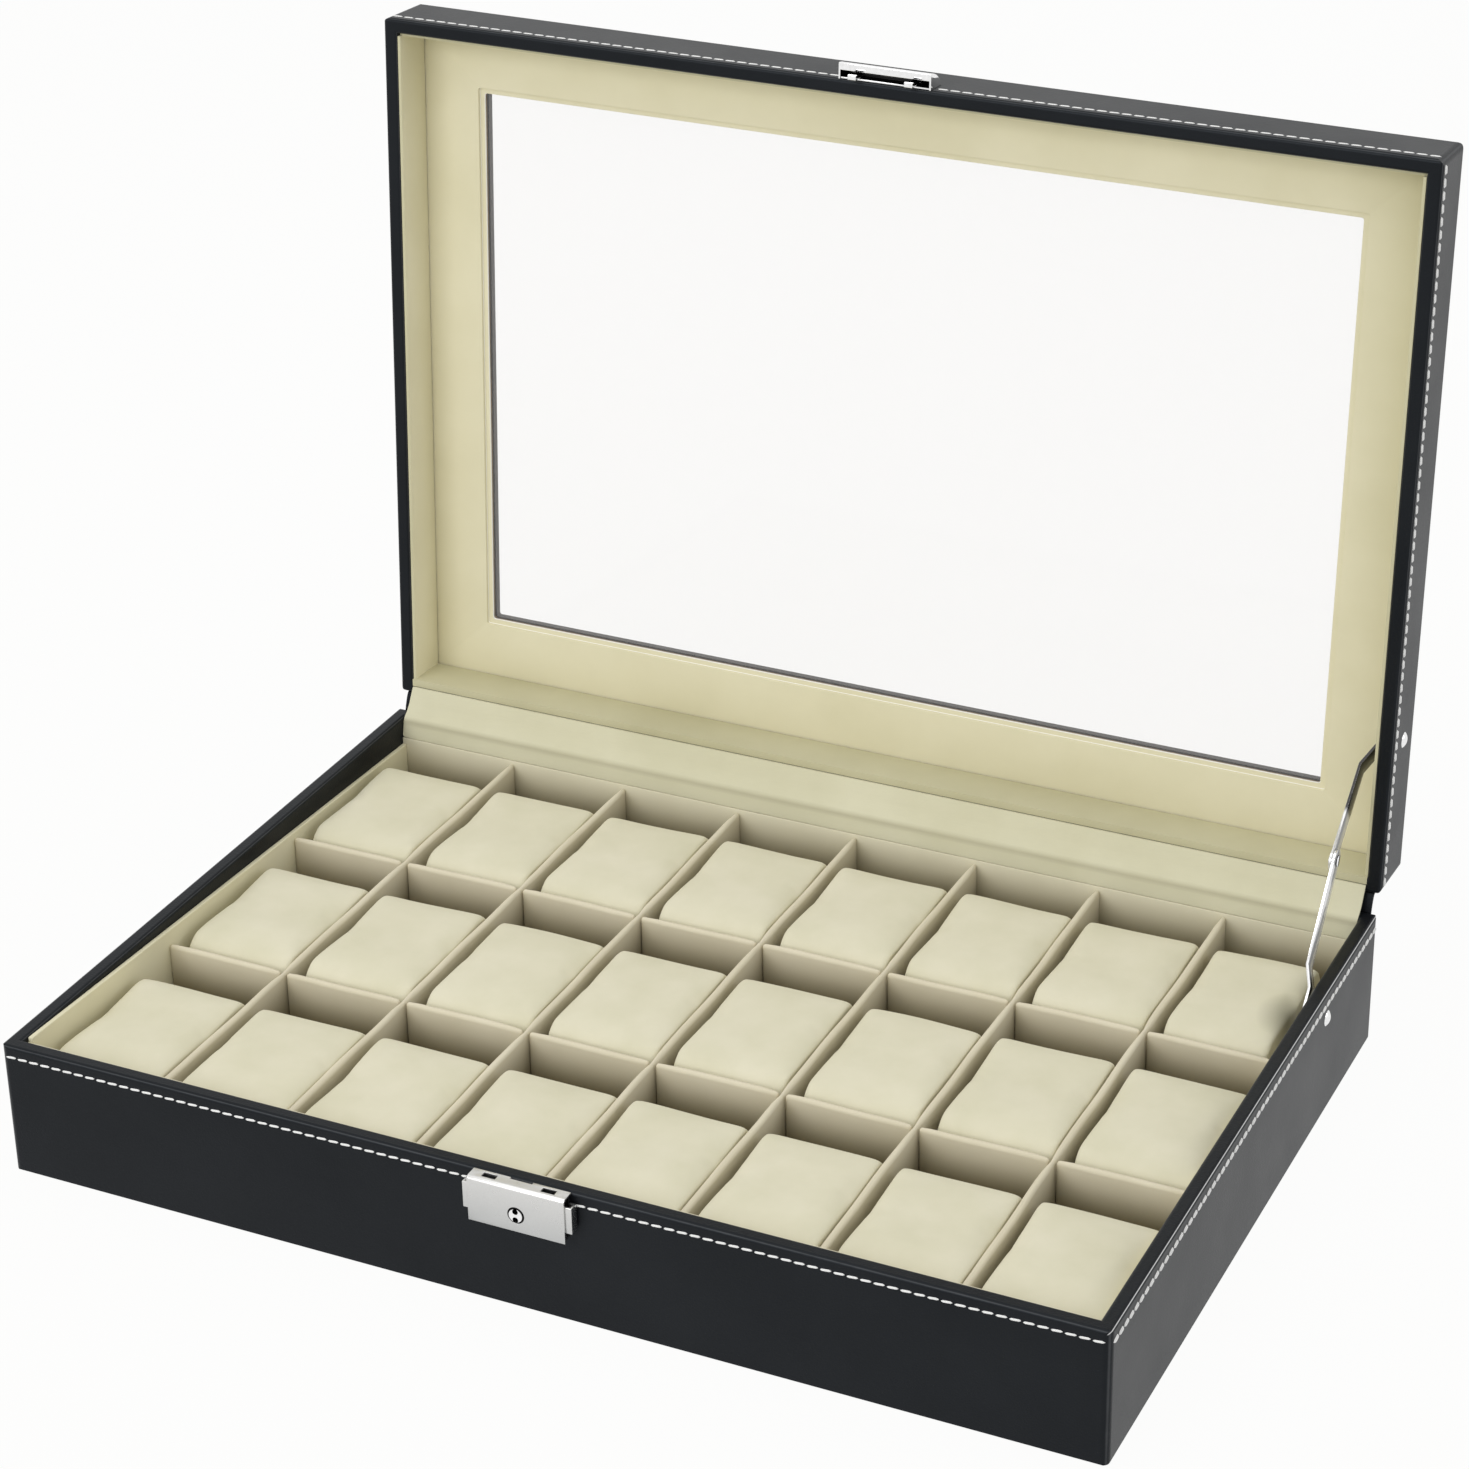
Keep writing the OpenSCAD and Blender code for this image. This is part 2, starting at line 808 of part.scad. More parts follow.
module lock_cover() {
    color(chrome)
        difference() {
            translate([0, lock_face_y, lock_low_z])
                rotate([90, 0, 90])
                    linear_extrude(lock_w, center = true)
                        cover_bend(lock_d, lock_h, sheet_t);
            for (side = [-1, 1])
                translate([side * hook_x - slot_w / 2, slot_y, lock_top_z - 2 * sheet_t])
                    cube([slot_w, slot_d, 3 * sheet_t]);
            translate([-4.5, front_y - 1, lock_top_z - 2 * sheet_t])
                cube([9, 1 + pad, 3 * sheet_t]);
            translate([0, lock_face_y - pad, cylinder_z])
                rotate([-90, 0, 0])
                    cylinder(r = cylinder_r + keyhole_play, h = sheet_t + 2 * pad);
        }
}

// The plate on the wall and its foot, which closes the lock below
module lock_back_plate() {
    color(chrome) {
        translate([-lock_w / 2 + sheet_t, front_y - sheet_t, lock_low_z])
            cube([lock_w - 2 * sheet_t, sheet_t, lock_h - sheet_t]);
        translate([-lock_w / 2 + sheet_t, lock_face_y + sheet_t, lock_low_z])
            cube([lock_w - 2 * sheet_t, lock_d - 1.5 * sheet_t, sheet_t]);
    }
}

// A side button: a plate behind the face, a tab outside the cover that is folded back on itself,
// a latch that stands over the hook's barb, and a lug that the spring pushes against
module lock_button(side) {
    tab_x = lock_w / 2 + button_out;
    stem_top = latch_z + latch_t;
    color(chrome)
        mirror([side < 0 ? 1 : 0, 0, 0])
            translate([0, plate_y, 0]) {
                translate([plate_in, 0, button_z])
                    cube([tab_x - plate_in, button_t, button_h]);
                translate([tab_x - button_t, 0, button_z])
                    cube([button_t, tab_d, button_h]);
                translate([tab_x - 2.4 * button_t, tab_d - button_t, button_z])
                    cube([2 * button_t, button_t, button_h]);
                translate([plate_in, 0, spring_z - spring_r])
                    cube([sheet_t, tab_d, 2 * spring_r]);
                translate([latch_x, 0, button_z + button_h / 2])
                    cube([latch_w, button_t, stem_top - button_z - button_h / 2]);
                translate([latch_x, 0, latch_z])
                    cube([latch_w, hook_y - lock_play - plate_y, latch_t]);
            }
}

// The coil spring between the two buttons, along X, as rings that short bars join
module lock_spring() {
    turns = 9;
    wire_r = 0.3;
    half = plate_in - lock_play - wire_r;
    step = 2 * half / (turns - 1);
    spring_y = plate_y + tab_d / 2 + button_t / 2;
    color(chrome)
        for (i = [0:turns - 1])
            translate([-half + i * step, spring_y, spring_z]) {
                rotate([0, 90, 0])
                    rotate_extrude()
                        translate([spring_r - 2 * wire_r, 0])
                            circle(wire_r, $fn = 24);
                if (i < turns - 1)
                    x_rod(0, 0, (i % 2 == 0 ? 1 : -1) * (spring_r - 2 * wire_r), wire_r / 2, step);
            }
}

// The key cylinder, which turns in the cover's round hole
module key_cylinder() {
    front = lock_face_y - 0.4;
    length = front_y - sheet_t - lock_play - front;
    color(chrome)
        translate([0, front, cylinder_z])
            rotate([-90, 0, 0])
                difference() {
                    cylinder(r = cylinder_r, h = length);
                    for (side = [-1, 1])
                        translate([0, side * (cylinder_r - keyway_r - 0.35), -pad])
                            cylinder(r = keyway_r, h = pad + length / 2);
                }
}

// The catch's side view in (y, z), less the thickness t: its back curves down to the leather
module catch_section(t) {
    intersection() {
        translate([t, 0])
            square([catch_d, catch_r]);
        translate([catch_r, 0])
            circle(catch_r - t);
    }
}

// The catch on the lid's front, in lid coordinates: a cover with a lip round its mouth, which is
// at the rim, and a plate inside it with two hooks
module lid_catch() {
    inner_x = lock_w / 2 - sheet_t;
    bridge_z = catch_len / 2;
    mouth_y = hook_y - barb_out - slot_gap;
    color(chrome)
        lid_place() {
            difference() {
                translate([0, front_y - catch_d, 0])
                    rotate([90, 0, 90])
                        linear_extrude(lock_w, center = true)
                            intersection() {
                                catch_section(0);
                                square([catch_d, catch_r]);
                            }
                translate([0, front_y - catch_d, 0])
                    rotate([90, 0, 90])
                        linear_extrude(2 * inner_x, center = true)
                            difference() {
                                catch_section(sheet_t);
                                translate([0, -pad])
                                    square([catch_d + 2 * pad, sheet_t + pad]);
                            }
                translate([-inner_x, mouth_y, -pad])
                    cube([2 * inner_x, lock_d, 2 * sheet_t + pad]);
            }
            translate([-inner_x - sheet_t / 2, front_y - sheet_t, sheet_t])
                cube([2 * inner_x + sheet_t, sheet_t, catch_len - 2 * sheet_t]);
            translate([-hook_x - hook_w / 2, hook_y, bridge_z])
                cube([2 * hook_x + hook_w, front_y - hook_y - sheet_t / 2, hook_t]);
            for (side = [-1, 1])
                translate([side * hook_x - hook_w / 2, hook_y, -hook_drop]) {
                    cube([hook_w, hook_t, hook_drop + bridge_z + hook_t / 2]);
                    translate([0, -barb_out, 0])
                        cube([hook_w, barb_out + hook_t / 2, barb_h]);
                }
        }
}

// ---- Nodes ----------------------------------------------------------------

base_carcase();
base_leather();
bottom_cover();
floor_lining();
side_lining(-1, base_h - lining_drop, divider_top);  // left_lining
side_lining(1, base_h - right_drop, right_lining_low);  // right_lining
end_lining(-1, base_h - front_drop);  // front_lining
end_lining(1, cloth_edge_z);  // back_lining
for (i = [1:2])
    cross_divider(i);
for (i = [1:7])
    row_divider(i);
for (r = [1:3], c = [1:8])
    pillow(r, c);
lid_carcase();
lid_leather();
window_glass();
lid_mat();
lid_linings();
hinge_leather();
hinge_cloth();
stay_lower_arm();
stay_upper_arm();
stay_base_rivet();
stay_lid_rivet();
stay_knee_rivets();
lock_cover();
lock_back_plate();
lock_button(-1);  // lock_button_left
lock_button(1);  // lock_button_right
lock_spring();
key_cylinder();
lid_catch();
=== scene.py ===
"""Watch box with a glazed lid: the dressed model, its studio and its camera.

Lengths in the dataclasses are millimetres in the case's own frame: X to the right, Y to the
back, Z up, with the origin at the middle of the underside. Meshes are made in metres.
"""

from __future__ import annotations

import json
import logging
import math
from contextlib import contextmanager
from dataclasses import dataclass, field
from enum import Enum
from typing import Callable, Iterator, Sequence

import bmesh
import bpy
import numpy as np
from mathutils import Matrix, Vector

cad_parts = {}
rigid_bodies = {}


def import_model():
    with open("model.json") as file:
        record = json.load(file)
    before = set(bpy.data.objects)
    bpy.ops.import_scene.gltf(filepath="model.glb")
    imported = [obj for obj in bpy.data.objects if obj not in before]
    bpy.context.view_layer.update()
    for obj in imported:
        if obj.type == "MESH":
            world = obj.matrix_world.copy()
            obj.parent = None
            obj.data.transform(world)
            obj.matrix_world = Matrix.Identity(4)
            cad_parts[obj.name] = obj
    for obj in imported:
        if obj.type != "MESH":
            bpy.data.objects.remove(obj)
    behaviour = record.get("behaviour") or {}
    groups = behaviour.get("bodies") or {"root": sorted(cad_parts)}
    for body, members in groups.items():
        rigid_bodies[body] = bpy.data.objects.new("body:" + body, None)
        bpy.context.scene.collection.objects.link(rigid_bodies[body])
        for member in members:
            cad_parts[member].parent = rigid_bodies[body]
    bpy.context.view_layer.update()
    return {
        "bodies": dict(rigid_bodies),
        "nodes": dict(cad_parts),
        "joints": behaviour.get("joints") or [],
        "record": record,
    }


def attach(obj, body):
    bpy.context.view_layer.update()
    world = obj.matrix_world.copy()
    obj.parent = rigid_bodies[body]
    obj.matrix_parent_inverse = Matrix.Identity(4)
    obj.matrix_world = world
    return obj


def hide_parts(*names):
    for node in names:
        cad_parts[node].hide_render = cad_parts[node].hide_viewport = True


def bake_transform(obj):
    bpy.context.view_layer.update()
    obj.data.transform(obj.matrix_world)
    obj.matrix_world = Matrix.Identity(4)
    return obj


LOG = logging.getLogger("watch_box")
MM = 0.001
Colour = tuple[float, float, float]


# ---------------------------------------------------------------------------
# Sizes that every sub-assembly shares
# ---------------------------------------------------------------------------


@dataclass(frozen=True)
class CaseSizes:
    """The case's own measures, in millimetres."""

    width: float = 450.0
    depth: float = 303.0
    base_height: float = 56.6
    wall: float = 6.2
    rim_gap: float = 0.6
    open_angle: float = 93.7
    hinge_back: float = 4.4
    hinge_up: float = 2.8
    side_lining: float = 2.0
    end_lining: float = 3.0
    floor: float = 6.0
    divider: float = 3.0
    corner: float = 3.0
    rim_round: float = 1.5
    columns: int = 8
    rows: int = 3
    mat_depth: float = 20.7
    mat_thickness: float = 2.3

    @property
    def front(self) -> float:
        """The front wall's outer face."""
        return -self.depth / 2

    @property
    def back(self) -> float:
        """The back wall's outer face."""
        return self.depth / 2

    @property
    def hinge(self) -> Vector:
        """A point of the hinge line."""
        return Vector((0, self.back + self.hinge_back, self.base_height + self.hinge_up))

    @property
    def lined_width(self) -> float:
        """Clear width between the side linings."""
        return self.width - 2 * self.wall - 2 * self.side_lining

    @property
    def lined_depth(self) -> float:
        """Clear depth between the front and back linings."""
        return self.depth - 2 * self.wall - 2 * self.end_lining

    @property
    def lid_rim(self) -> float:
        """Height of the lid's rim when it is shut."""
        return self.base_height + self.rim_gap

    def lid_point(self, y: float, z: float) -> Vector:
        """A point of the shut lid (y, z), where it is when the lid stands open."""
        point = self.lid_matrix() @ (Vector((0, y, z)) * MM)
        return Vector((point.y, point.z)) / MM

    def lid_matrix(self) -> Matrix:
        """The lid's turn from shut to open.

        Returns:
            A matrix in metres, for meshes that were made on the shut lid.
        """
        pivot = self.hinge * MM
        turn = Matrix.Rotation(-math.radians(self.open_angle), 4, "X")
        return Matrix.Translation(pivot) @ turn @ Matrix.Translation(-pivot)


SIZES = CaseSizes()


# ---------------------------------------------------------------------------
# Modelling helpers
# ---------------------------------------------------------------------------


def deselect() -> None:
    """Leaves edit mode and deselects every object."""
    if bpy.context.object and bpy.context.object.mode != "OBJECT":
        bpy.ops.object.mode_set(mode="OBJECT")
    bpy.ops.object.select_all(action="DESELECT")


def pick(obj: bpy.types.Object) -> None:
    """Makes one object the only selected and the active one.

    Args:
        obj: The object to pick.
    """
    deselect()
    obj.select_set(True)
    bpy.context.view_layer.objects.active = obj


@contextmanager
def editing(obj: bpy.types.Object) -> Iterator[bmesh.types.BMesh]:
    """Opens an object in edit mode with nothing selected.

    Args:
        obj: The mesh object to edit.

    Yields:
        The edit mesh, for choosing what the next operator acts on.
    """
    pick(obj)
    bpy.ops.object.mode_set(mode="EDIT")
    bpy.ops.mesh.select_all(action="DESELECT")
    yield bmesh.from_edit_mesh(obj.data)
    bpy.ops.object.mode_set(mode="OBJECT")


def choose_edges(
    obj: bpy.types.Object, rule: Callable[[Vector, Vector], bool]
) -> None:
    """Selects the edges of an object in edit mode whose two ends agree with a rule.

    Args:
        obj: The object in edit mode.
        rule: Takes an edge's two ends, in millimetres.
    """
    bpy.ops.mesh.select_mode(type="EDGE")
    mesh = bmesh.from_edit_mesh(obj.data)
    for edge in mesh.edges:
        a, b = (v.co / MM for v in edge.verts)
        edge.select = rule(a, b)
    mesh.select_flush_mode()
    bmesh.update_edit_mesh(obj.data)


def settle(obj: bpy.types.Object) -> bpy.types.Object:
    """Moves an object's place into its mesh, so the object stands at the origin.

    Args:
        obj: The object.

    Returns:
        The same object.
    """
    pick(obj)
    bpy.ops.object.transform_apply(location=True, rotation=True, scale=True)
    return obj


def block(
    name: str, size: Sequence[float], centre: Sequence[float]
) -> bpy.types.Object:
    """A box-shaped start for a piece.

    Args:
        name: The piece's name.
        size: Its three sides, in millimetres.
        centre: Its centre, in millimetres.

    Returns:
        The new object.
    """
    deselect()
    bpy.ops.mesh.primitive_cube_add(size=1, location=[c * MM for c in centre])
    obj = bpy.context.object
    obj.name = obj.data.name = name
    obj.scale = [s * MM for s in size]
    return settle(obj)


def apply_all(obj: bpy.types.Object) -> bpy.types.Object:
    """Applies every modifier of an object.

    Args:
        obj: The object.

    Returns:
        The same object.
    """
    pick(obj)
    for modifier in list(obj.modifiers):
        bpy.ops.object.modifier_apply(modifier=modifier.name)
    return obj


def soften(obj: bpy.types.Object, degrees: float = 40.0) -> bpy.types.Object:
    """Shades an object smooth up to an angle.

    Args:
        obj: The object.
        degrees: The largest angle between two faces that still looks smooth.

    Returns:
        The same object.
    """
    pick(obj)
    bpy.ops.object.shade_smooth_by_angle(angle=math.radians(degrees))
    return obj


def arris(
    obj: bpy.types.Object, width: float, segments: int = 3, degrees: float = 30.0
) -> bpy.types.Object:
    """Rounds the sharp edges of an object.

    Args:
        obj: The object.
        width: The bevel's width, in millimetres.
        segments: The bevel's segments.
        degrees: Edges sharper than this are rounded.

    Returns:
        The same object.
    """
    bevel = obj.modifiers.new("Arris", "BEVEL")
    bevel.width = width * MM
    bevel.segments = segments
    bevel.limit_method = "ANGLE"
    bevel.angle_limit = math.radians(degrees)
    apply_all(obj)
    return soften(obj, 50)


def joined(name: str, parts: Sequence[bpy.types.Object]) -> bpy.types.Object:
    """Joins several objects into one.

    Args:
        name: The joined object's name.
        parts: The objects.

    Returns:
        The joined object.
    """
    pick(parts[0])
    for part in parts[1:]:
        part.select_set(True)
    if len(parts) > 1:
        bpy.ops.object.join()
    obj = bpy.context.object
    obj.name = obj.data.name = name
    return obj


def copied(obj: bpy.types.Object, name: str) -> bpy.types.Object:
    """A copy of an object with its own mesh.

    Args:
        obj: The object to copy.
        name: The copy's name.

    Returns:
        The copy.
    """
    twin = obj.copy()
    twin.data = obj.data.copy()
    twin.name = twin.data.name = name
    bpy.context.scene.collection.objects.link(twin)
    return twin


def whole_copy(node: bpy.types.Object, name: str) -> bpy.types.Object:
    """A closed copy of a solid, with each flat face in one piece.

    Args:
        node: The solid.
        name: The copy's name.

    Returns:
        The copy, which rides on nothing yet.
    """
    obj = bpy.data.objects.new(name, node.data.copy())
    obj.data.name = name
    bpy.context.scene.collection.objects.link(obj)
    pick(obj)
    bpy.ops.mesh.customdata_custom_splitnormals_clear()
    with editing(obj):
        bpy.ops.mesh.select_all(action="SELECT")
        bpy.ops.mesh.remove_doubles(threshold=2e-6)
        bpy.ops.mesh.dissolve_limited(angle_limit=math.radians(0.5))
    return obj


def stand_in(
    obj: bpy.types.Object, node: str, body: str
) -> bpy.types.Object:
    """Puts a finished piece in the place of a plain solid.

    Args:
        obj: The piece.
        node: The solid's node.
        body: The body that it moves with.

    Returns:
        The same piece.
    """
    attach(obj, body)
    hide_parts(node)
    LOG.info("%s stands for %s: %d faces", obj.name, node, len(obj.data.polygons))
    return obj


def paint_faces(
    obj: bpy.types.Object,
    material: bpy.types.Material,
    rule: Callable[[Vector, Vector], bool],
) -> int:
    """Gives a second material to the faces that a rule picks.

    Args:
        obj: The object.
        material: The second material.
        rule: Takes a face's middle, in millimetres, and its normal.

    Returns:
        How many faces were picked.
    """
    obj.data.materials.append(material)
    index = len(obj.data.materials) - 1
    count = 0
    for face in obj.data.polygons:
        if rule(face.center / MM, face.normal):
            face.material_index = index
            count += 1
    return count


def curve(
    a: Vector, leave: Vector, b: Vector, arrive: Vector, steps: int
) -> list[Vector]:
    """Points along a smooth bend.

    Args:
        a: Where it starts.
        leave: How it leaves the start.
        b: Where it ends.
        arrive: How it arrives at the end.
        steps: How many points follow the start.

    Returns:
        The points after the start, the end included.
    """
    points = []
    for i in range(1, steps + 1):
        t = i / steps
        r = 1 - t
        points.append(
            r**3 * a + 3 * r * r * t * (a + leave) + 3 * r * t * t * (b - arrive) + t**3 * b
        )
    return points


def dress(obj: bpy.types.Object, material: bpy.types.Material) -> None:
    """Puts one material on an object.

    Args:
        obj: The object.
        material: Its material.
    """
    obj.data.materials.clear()
    obj.data.materials.append(material)


# ---------------------------------------------------------------------------
# Finishes
# ---------------------------------------------------------------------------


class Tree:
    """A small hand for building a material's nodes."""

    def __init__(self, name: str) -> None:
        """Starts a material with a Principled shader.

        Args:
            name: The material's name.
        """
        self.material = bpy.data.materials.new(name)
        self.material.use_nodes = True
        self.nodes = self.material.node_tree.nodes
        self.links = self.material.node_tree.links
        self.shader = self.nodes["Principled BSDF"]
        self.output = self.nodes["Material Output"]
        self.place = self.add("ShaderNodeTexCoord").outputs["Object"]

    def add(self, kind: str, **values: object) -> bpy.types.Node:
        """Adds a node and sets its properties.

        Args:
            kind: The node's type.
            **values: Properties by name.

        Returns:
            The node.
        """
        node = self.nodes.new(kind)
        for key, value in values.items():
            setattr(node, key, value)
        return node

    def stretched(self, scale: Sequence[float]) -> bpy.types.NodeSocket:
        """Object coordinates scaled by three factors.

        Args:
            scale: The factors.

        Returns:
            The coordinates' socket.
        """
        node = self.add("ShaderNodeMapping")
        node.inputs["Scale"].default_value = scale
        self.links.new(self.place, node.inputs["Vector"])
        return node.outputs["Vector"]

    def noise(
        self,
        scale: float,
        detail: float = 3.0,
        rough: float = 0.5,
        vector: bpy.types.NodeSocket | None = None,
    ) -> bpy.types.NodeSocket:
        """A noise value.

        Args:
            scale: The noise's scale, per metre.
            detail: Its octaves.
            rough: Its roughness.
            vector: The coordinates, or None for object coordinates.

        Returns:
            The noise's value.
        """
        node = self.add("ShaderNodeTexNoise")
        node.inputs["Scale"].default_value = scale
        node.inputs["Detail"].default_value = detail
        node.inputs["Roughness"].default_value = rough
        self.links.new(vector or self.place, node.inputs["Vector"])
        return node.outputs["Fac"]

    def cells(self, scale: float, feature: str = "F1") -> bpy.types.NodeSocket:
        """A cell pattern's distance.

        Args:
            scale: The pattern's scale, per metre.
            feature: Which distance it gives.

        Returns:
            The distance.
        """
        node = self.add("ShaderNodeTexVoronoi", feature=feature)
        node.inputs["Scale"].default_value = scale
        self.links.new(self.place, node.inputs["Vector"])
        return node.outputs["Distance"]

    def span(
        self,
        value: bpy.types.NodeSocket,
        low: float,
        high: float,
        to_low: float,
        to_high: float,
    ) -> bpy.types.NodeSocket:
        """Maps a value from one range to another.

        Args:
            value: The value.
            low: The range's start.
            high: The range's end.
            to_low: What the start becomes.
            to_high: What the end becomes.

        Returns:
            The mapped value.
        """
        node = self.add("ShaderNodeMapRange")
        node.inputs["From Min"].default_value = low
        node.inputs["From Max"].default_value = high
        node.inputs["To Min"].default_value = to_low
        node.inputs["To Max"].default_value = to_high
        self.links.new(value, node.inputs["Value"])
        return node.outputs["Result"]

    def sum(
        self, a: bpy.types.NodeSocket, b: bpy.types.NodeSocket, share: float
    ) -> bpy.types.NodeSocket:
        """Adds a share of one value to another.

        Args:
            a: The first value.
            b: The value that is added.
            share: How much of it.

        Returns:
            The sum.
        """
        node = self.add("ShaderNodeMath", operation="MULTIPLY_ADD")
        self.links.new(b, node.inputs[0])
        node.inputs[1].default_value = share
        self.links.new(a, node.inputs[2])
        return node.outputs["Value"]

    def combine(
        self,
        operation: str,
        a: bpy.types.NodeSocket,
        b: bpy.types.NodeSocket | float = 0.0,
    ) -> bpy.types.NodeSocket:
        """Works out one value from two.

        Args:
            operation: The Math node's operation.
            a: The first value.
            b: The second value, as a socket or a number.

        Returns:
            The result.
        """
        node = self.add("ShaderNodeMath", operation=operation)
        self.links.new(a, node.inputs[0])
        if isinstance(b, float):
            node.inputs[1].default_value = b
        else:
            self.links.new(b, node.inputs[1])
        return node.outputs["Value"]

    def ramp(
        self, value: bpy.types.NodeSocket, low: Colour, high: Colour
    ) -> bpy.types.NodeSocket:
        """Blends two colours by a value.

        Args:
            value: The value, from 0 to 1.
            low: The colour at 0.
            high: The colour at 1.

        Returns:
            The blended colour.
        """
        node = self.add("ShaderNodeMix", data_type="RGBA")
        self.links.new(value, node.inputs["Factor"])
        node.inputs["A"].default_value = (*low, 1)
        node.inputs["B"].default_value = (*high, 1)
        return self.colour_of(node)

    def colour_of(self, node: bpy.types.Node) -> bpy.types.NodeSocket:
        """The colour output of a mix node.

        Args:
            node: The mix node.

        Returns:
            Its colour output.
        """
        for socket in node.outputs:
            if socket.type == "RGBA":
                return socket
        raise LookupError("the mix node has no colour output")

    def over(
        self, share: bpy.types.NodeSocket, under: bpy.types.NodeSocket, colour: Colour
    ) -> bpy.types.NodeSocket:
        """Lays a plain colour over a patterned one.

        Args:
            share: How much of the plain colour shows, from 0 to 1.
            under: The patterned colour.
            colour: The plain colour.

        Returns:
            The blended colour.
        """
        node = self.add("ShaderNodeMix", data_type="RGBA")
        self.links.new(share, node.inputs["Factor"])
        for socket in node.inputs:
            if socket.type == "RGBA" and socket.name == "A":
                self.links.new(under, socket)
            elif socket.type == "RGBA":
                socket.default_value = (*colour, 1)
        return self.colour_of(node)

    def height_in(self, low: float, high: float) -> bpy.types.NodeSocket:
        """How high a place is between two heights.

        Args:
            low: The height that gives 0, in millimetres.
            high: The height that gives 1, in millimetres.

        Returns:
            A value from 0 to 1.
        """
        parts = self.add("ShaderNodeSeparateXYZ")
        self.links.new(self.place, parts.inputs["Vector"])
        return self.span(parts.outputs["Z"], low * MM, high * MM, 0.0, 1.0)

    def near(
        self, place: Sequence[float], size: Sequence[float]
    ) -> bpy.types.NodeSocket:
        """A soft spot about a place.

        Args:
            place: The spot's middle, in millimetres.
            size: Its half sizes, in millimetres.

        Returns:
            A value from 1 in the middle to 0 at the edge.
        """
        node = self.add("ShaderNodeMapping")
        node.inputs["Location"].default_value = [-p / r for p, r in zip(place, size)]
        node.inputs["Scale"].default_value = [1 / (r * MM) for r in size]
        self.links.new(self.place, node.inputs["Vector"])
        length = self.add("ShaderNodeVectorMath", operation="LENGTH")
        self.links.new(node.outputs["Vector"], length.inputs[0])
        return self.span(length.outputs["Value"], 0.0, 1.0, 1.0, 0.0)

    def bump(
        self, height: bpy.types.NodeSocket, depth: float, strength: float = 1.0
    ) -> None:
        """Raises the surface by a value.

        Args:
            height: The value.
            depth: What 1 stands for, in millimetres.
            strength: The bump's strength.
        """
        node = self.add("ShaderNodeBump")
        node.inputs["Strength"].default_value = strength
        node.inputs["Distance"].default_value = depth * MM
        self.links.new(height, node.inputs["Height"])
        self.links.new(node.outputs["Normal"], self.shader.inputs["Normal"])

    def set(self, **values: float | Sequence[float]) -> None:
        """Sets the shader's own sockets.

        Args:
            **values: Values by socket name, with _ for a space.
        """
        for key, value in values.items():
            self.shader.inputs[key.replace("_", " ")].default_value = value

    def feed(self, socket: bpy.types.NodeSocket, name: str) -> None:
        """Links a value to one of the shader's sockets.

        Args:
            socket: The value.
            name: The shader's socket.
        """
        self.links.new(socket, self.shader.inputs[name])


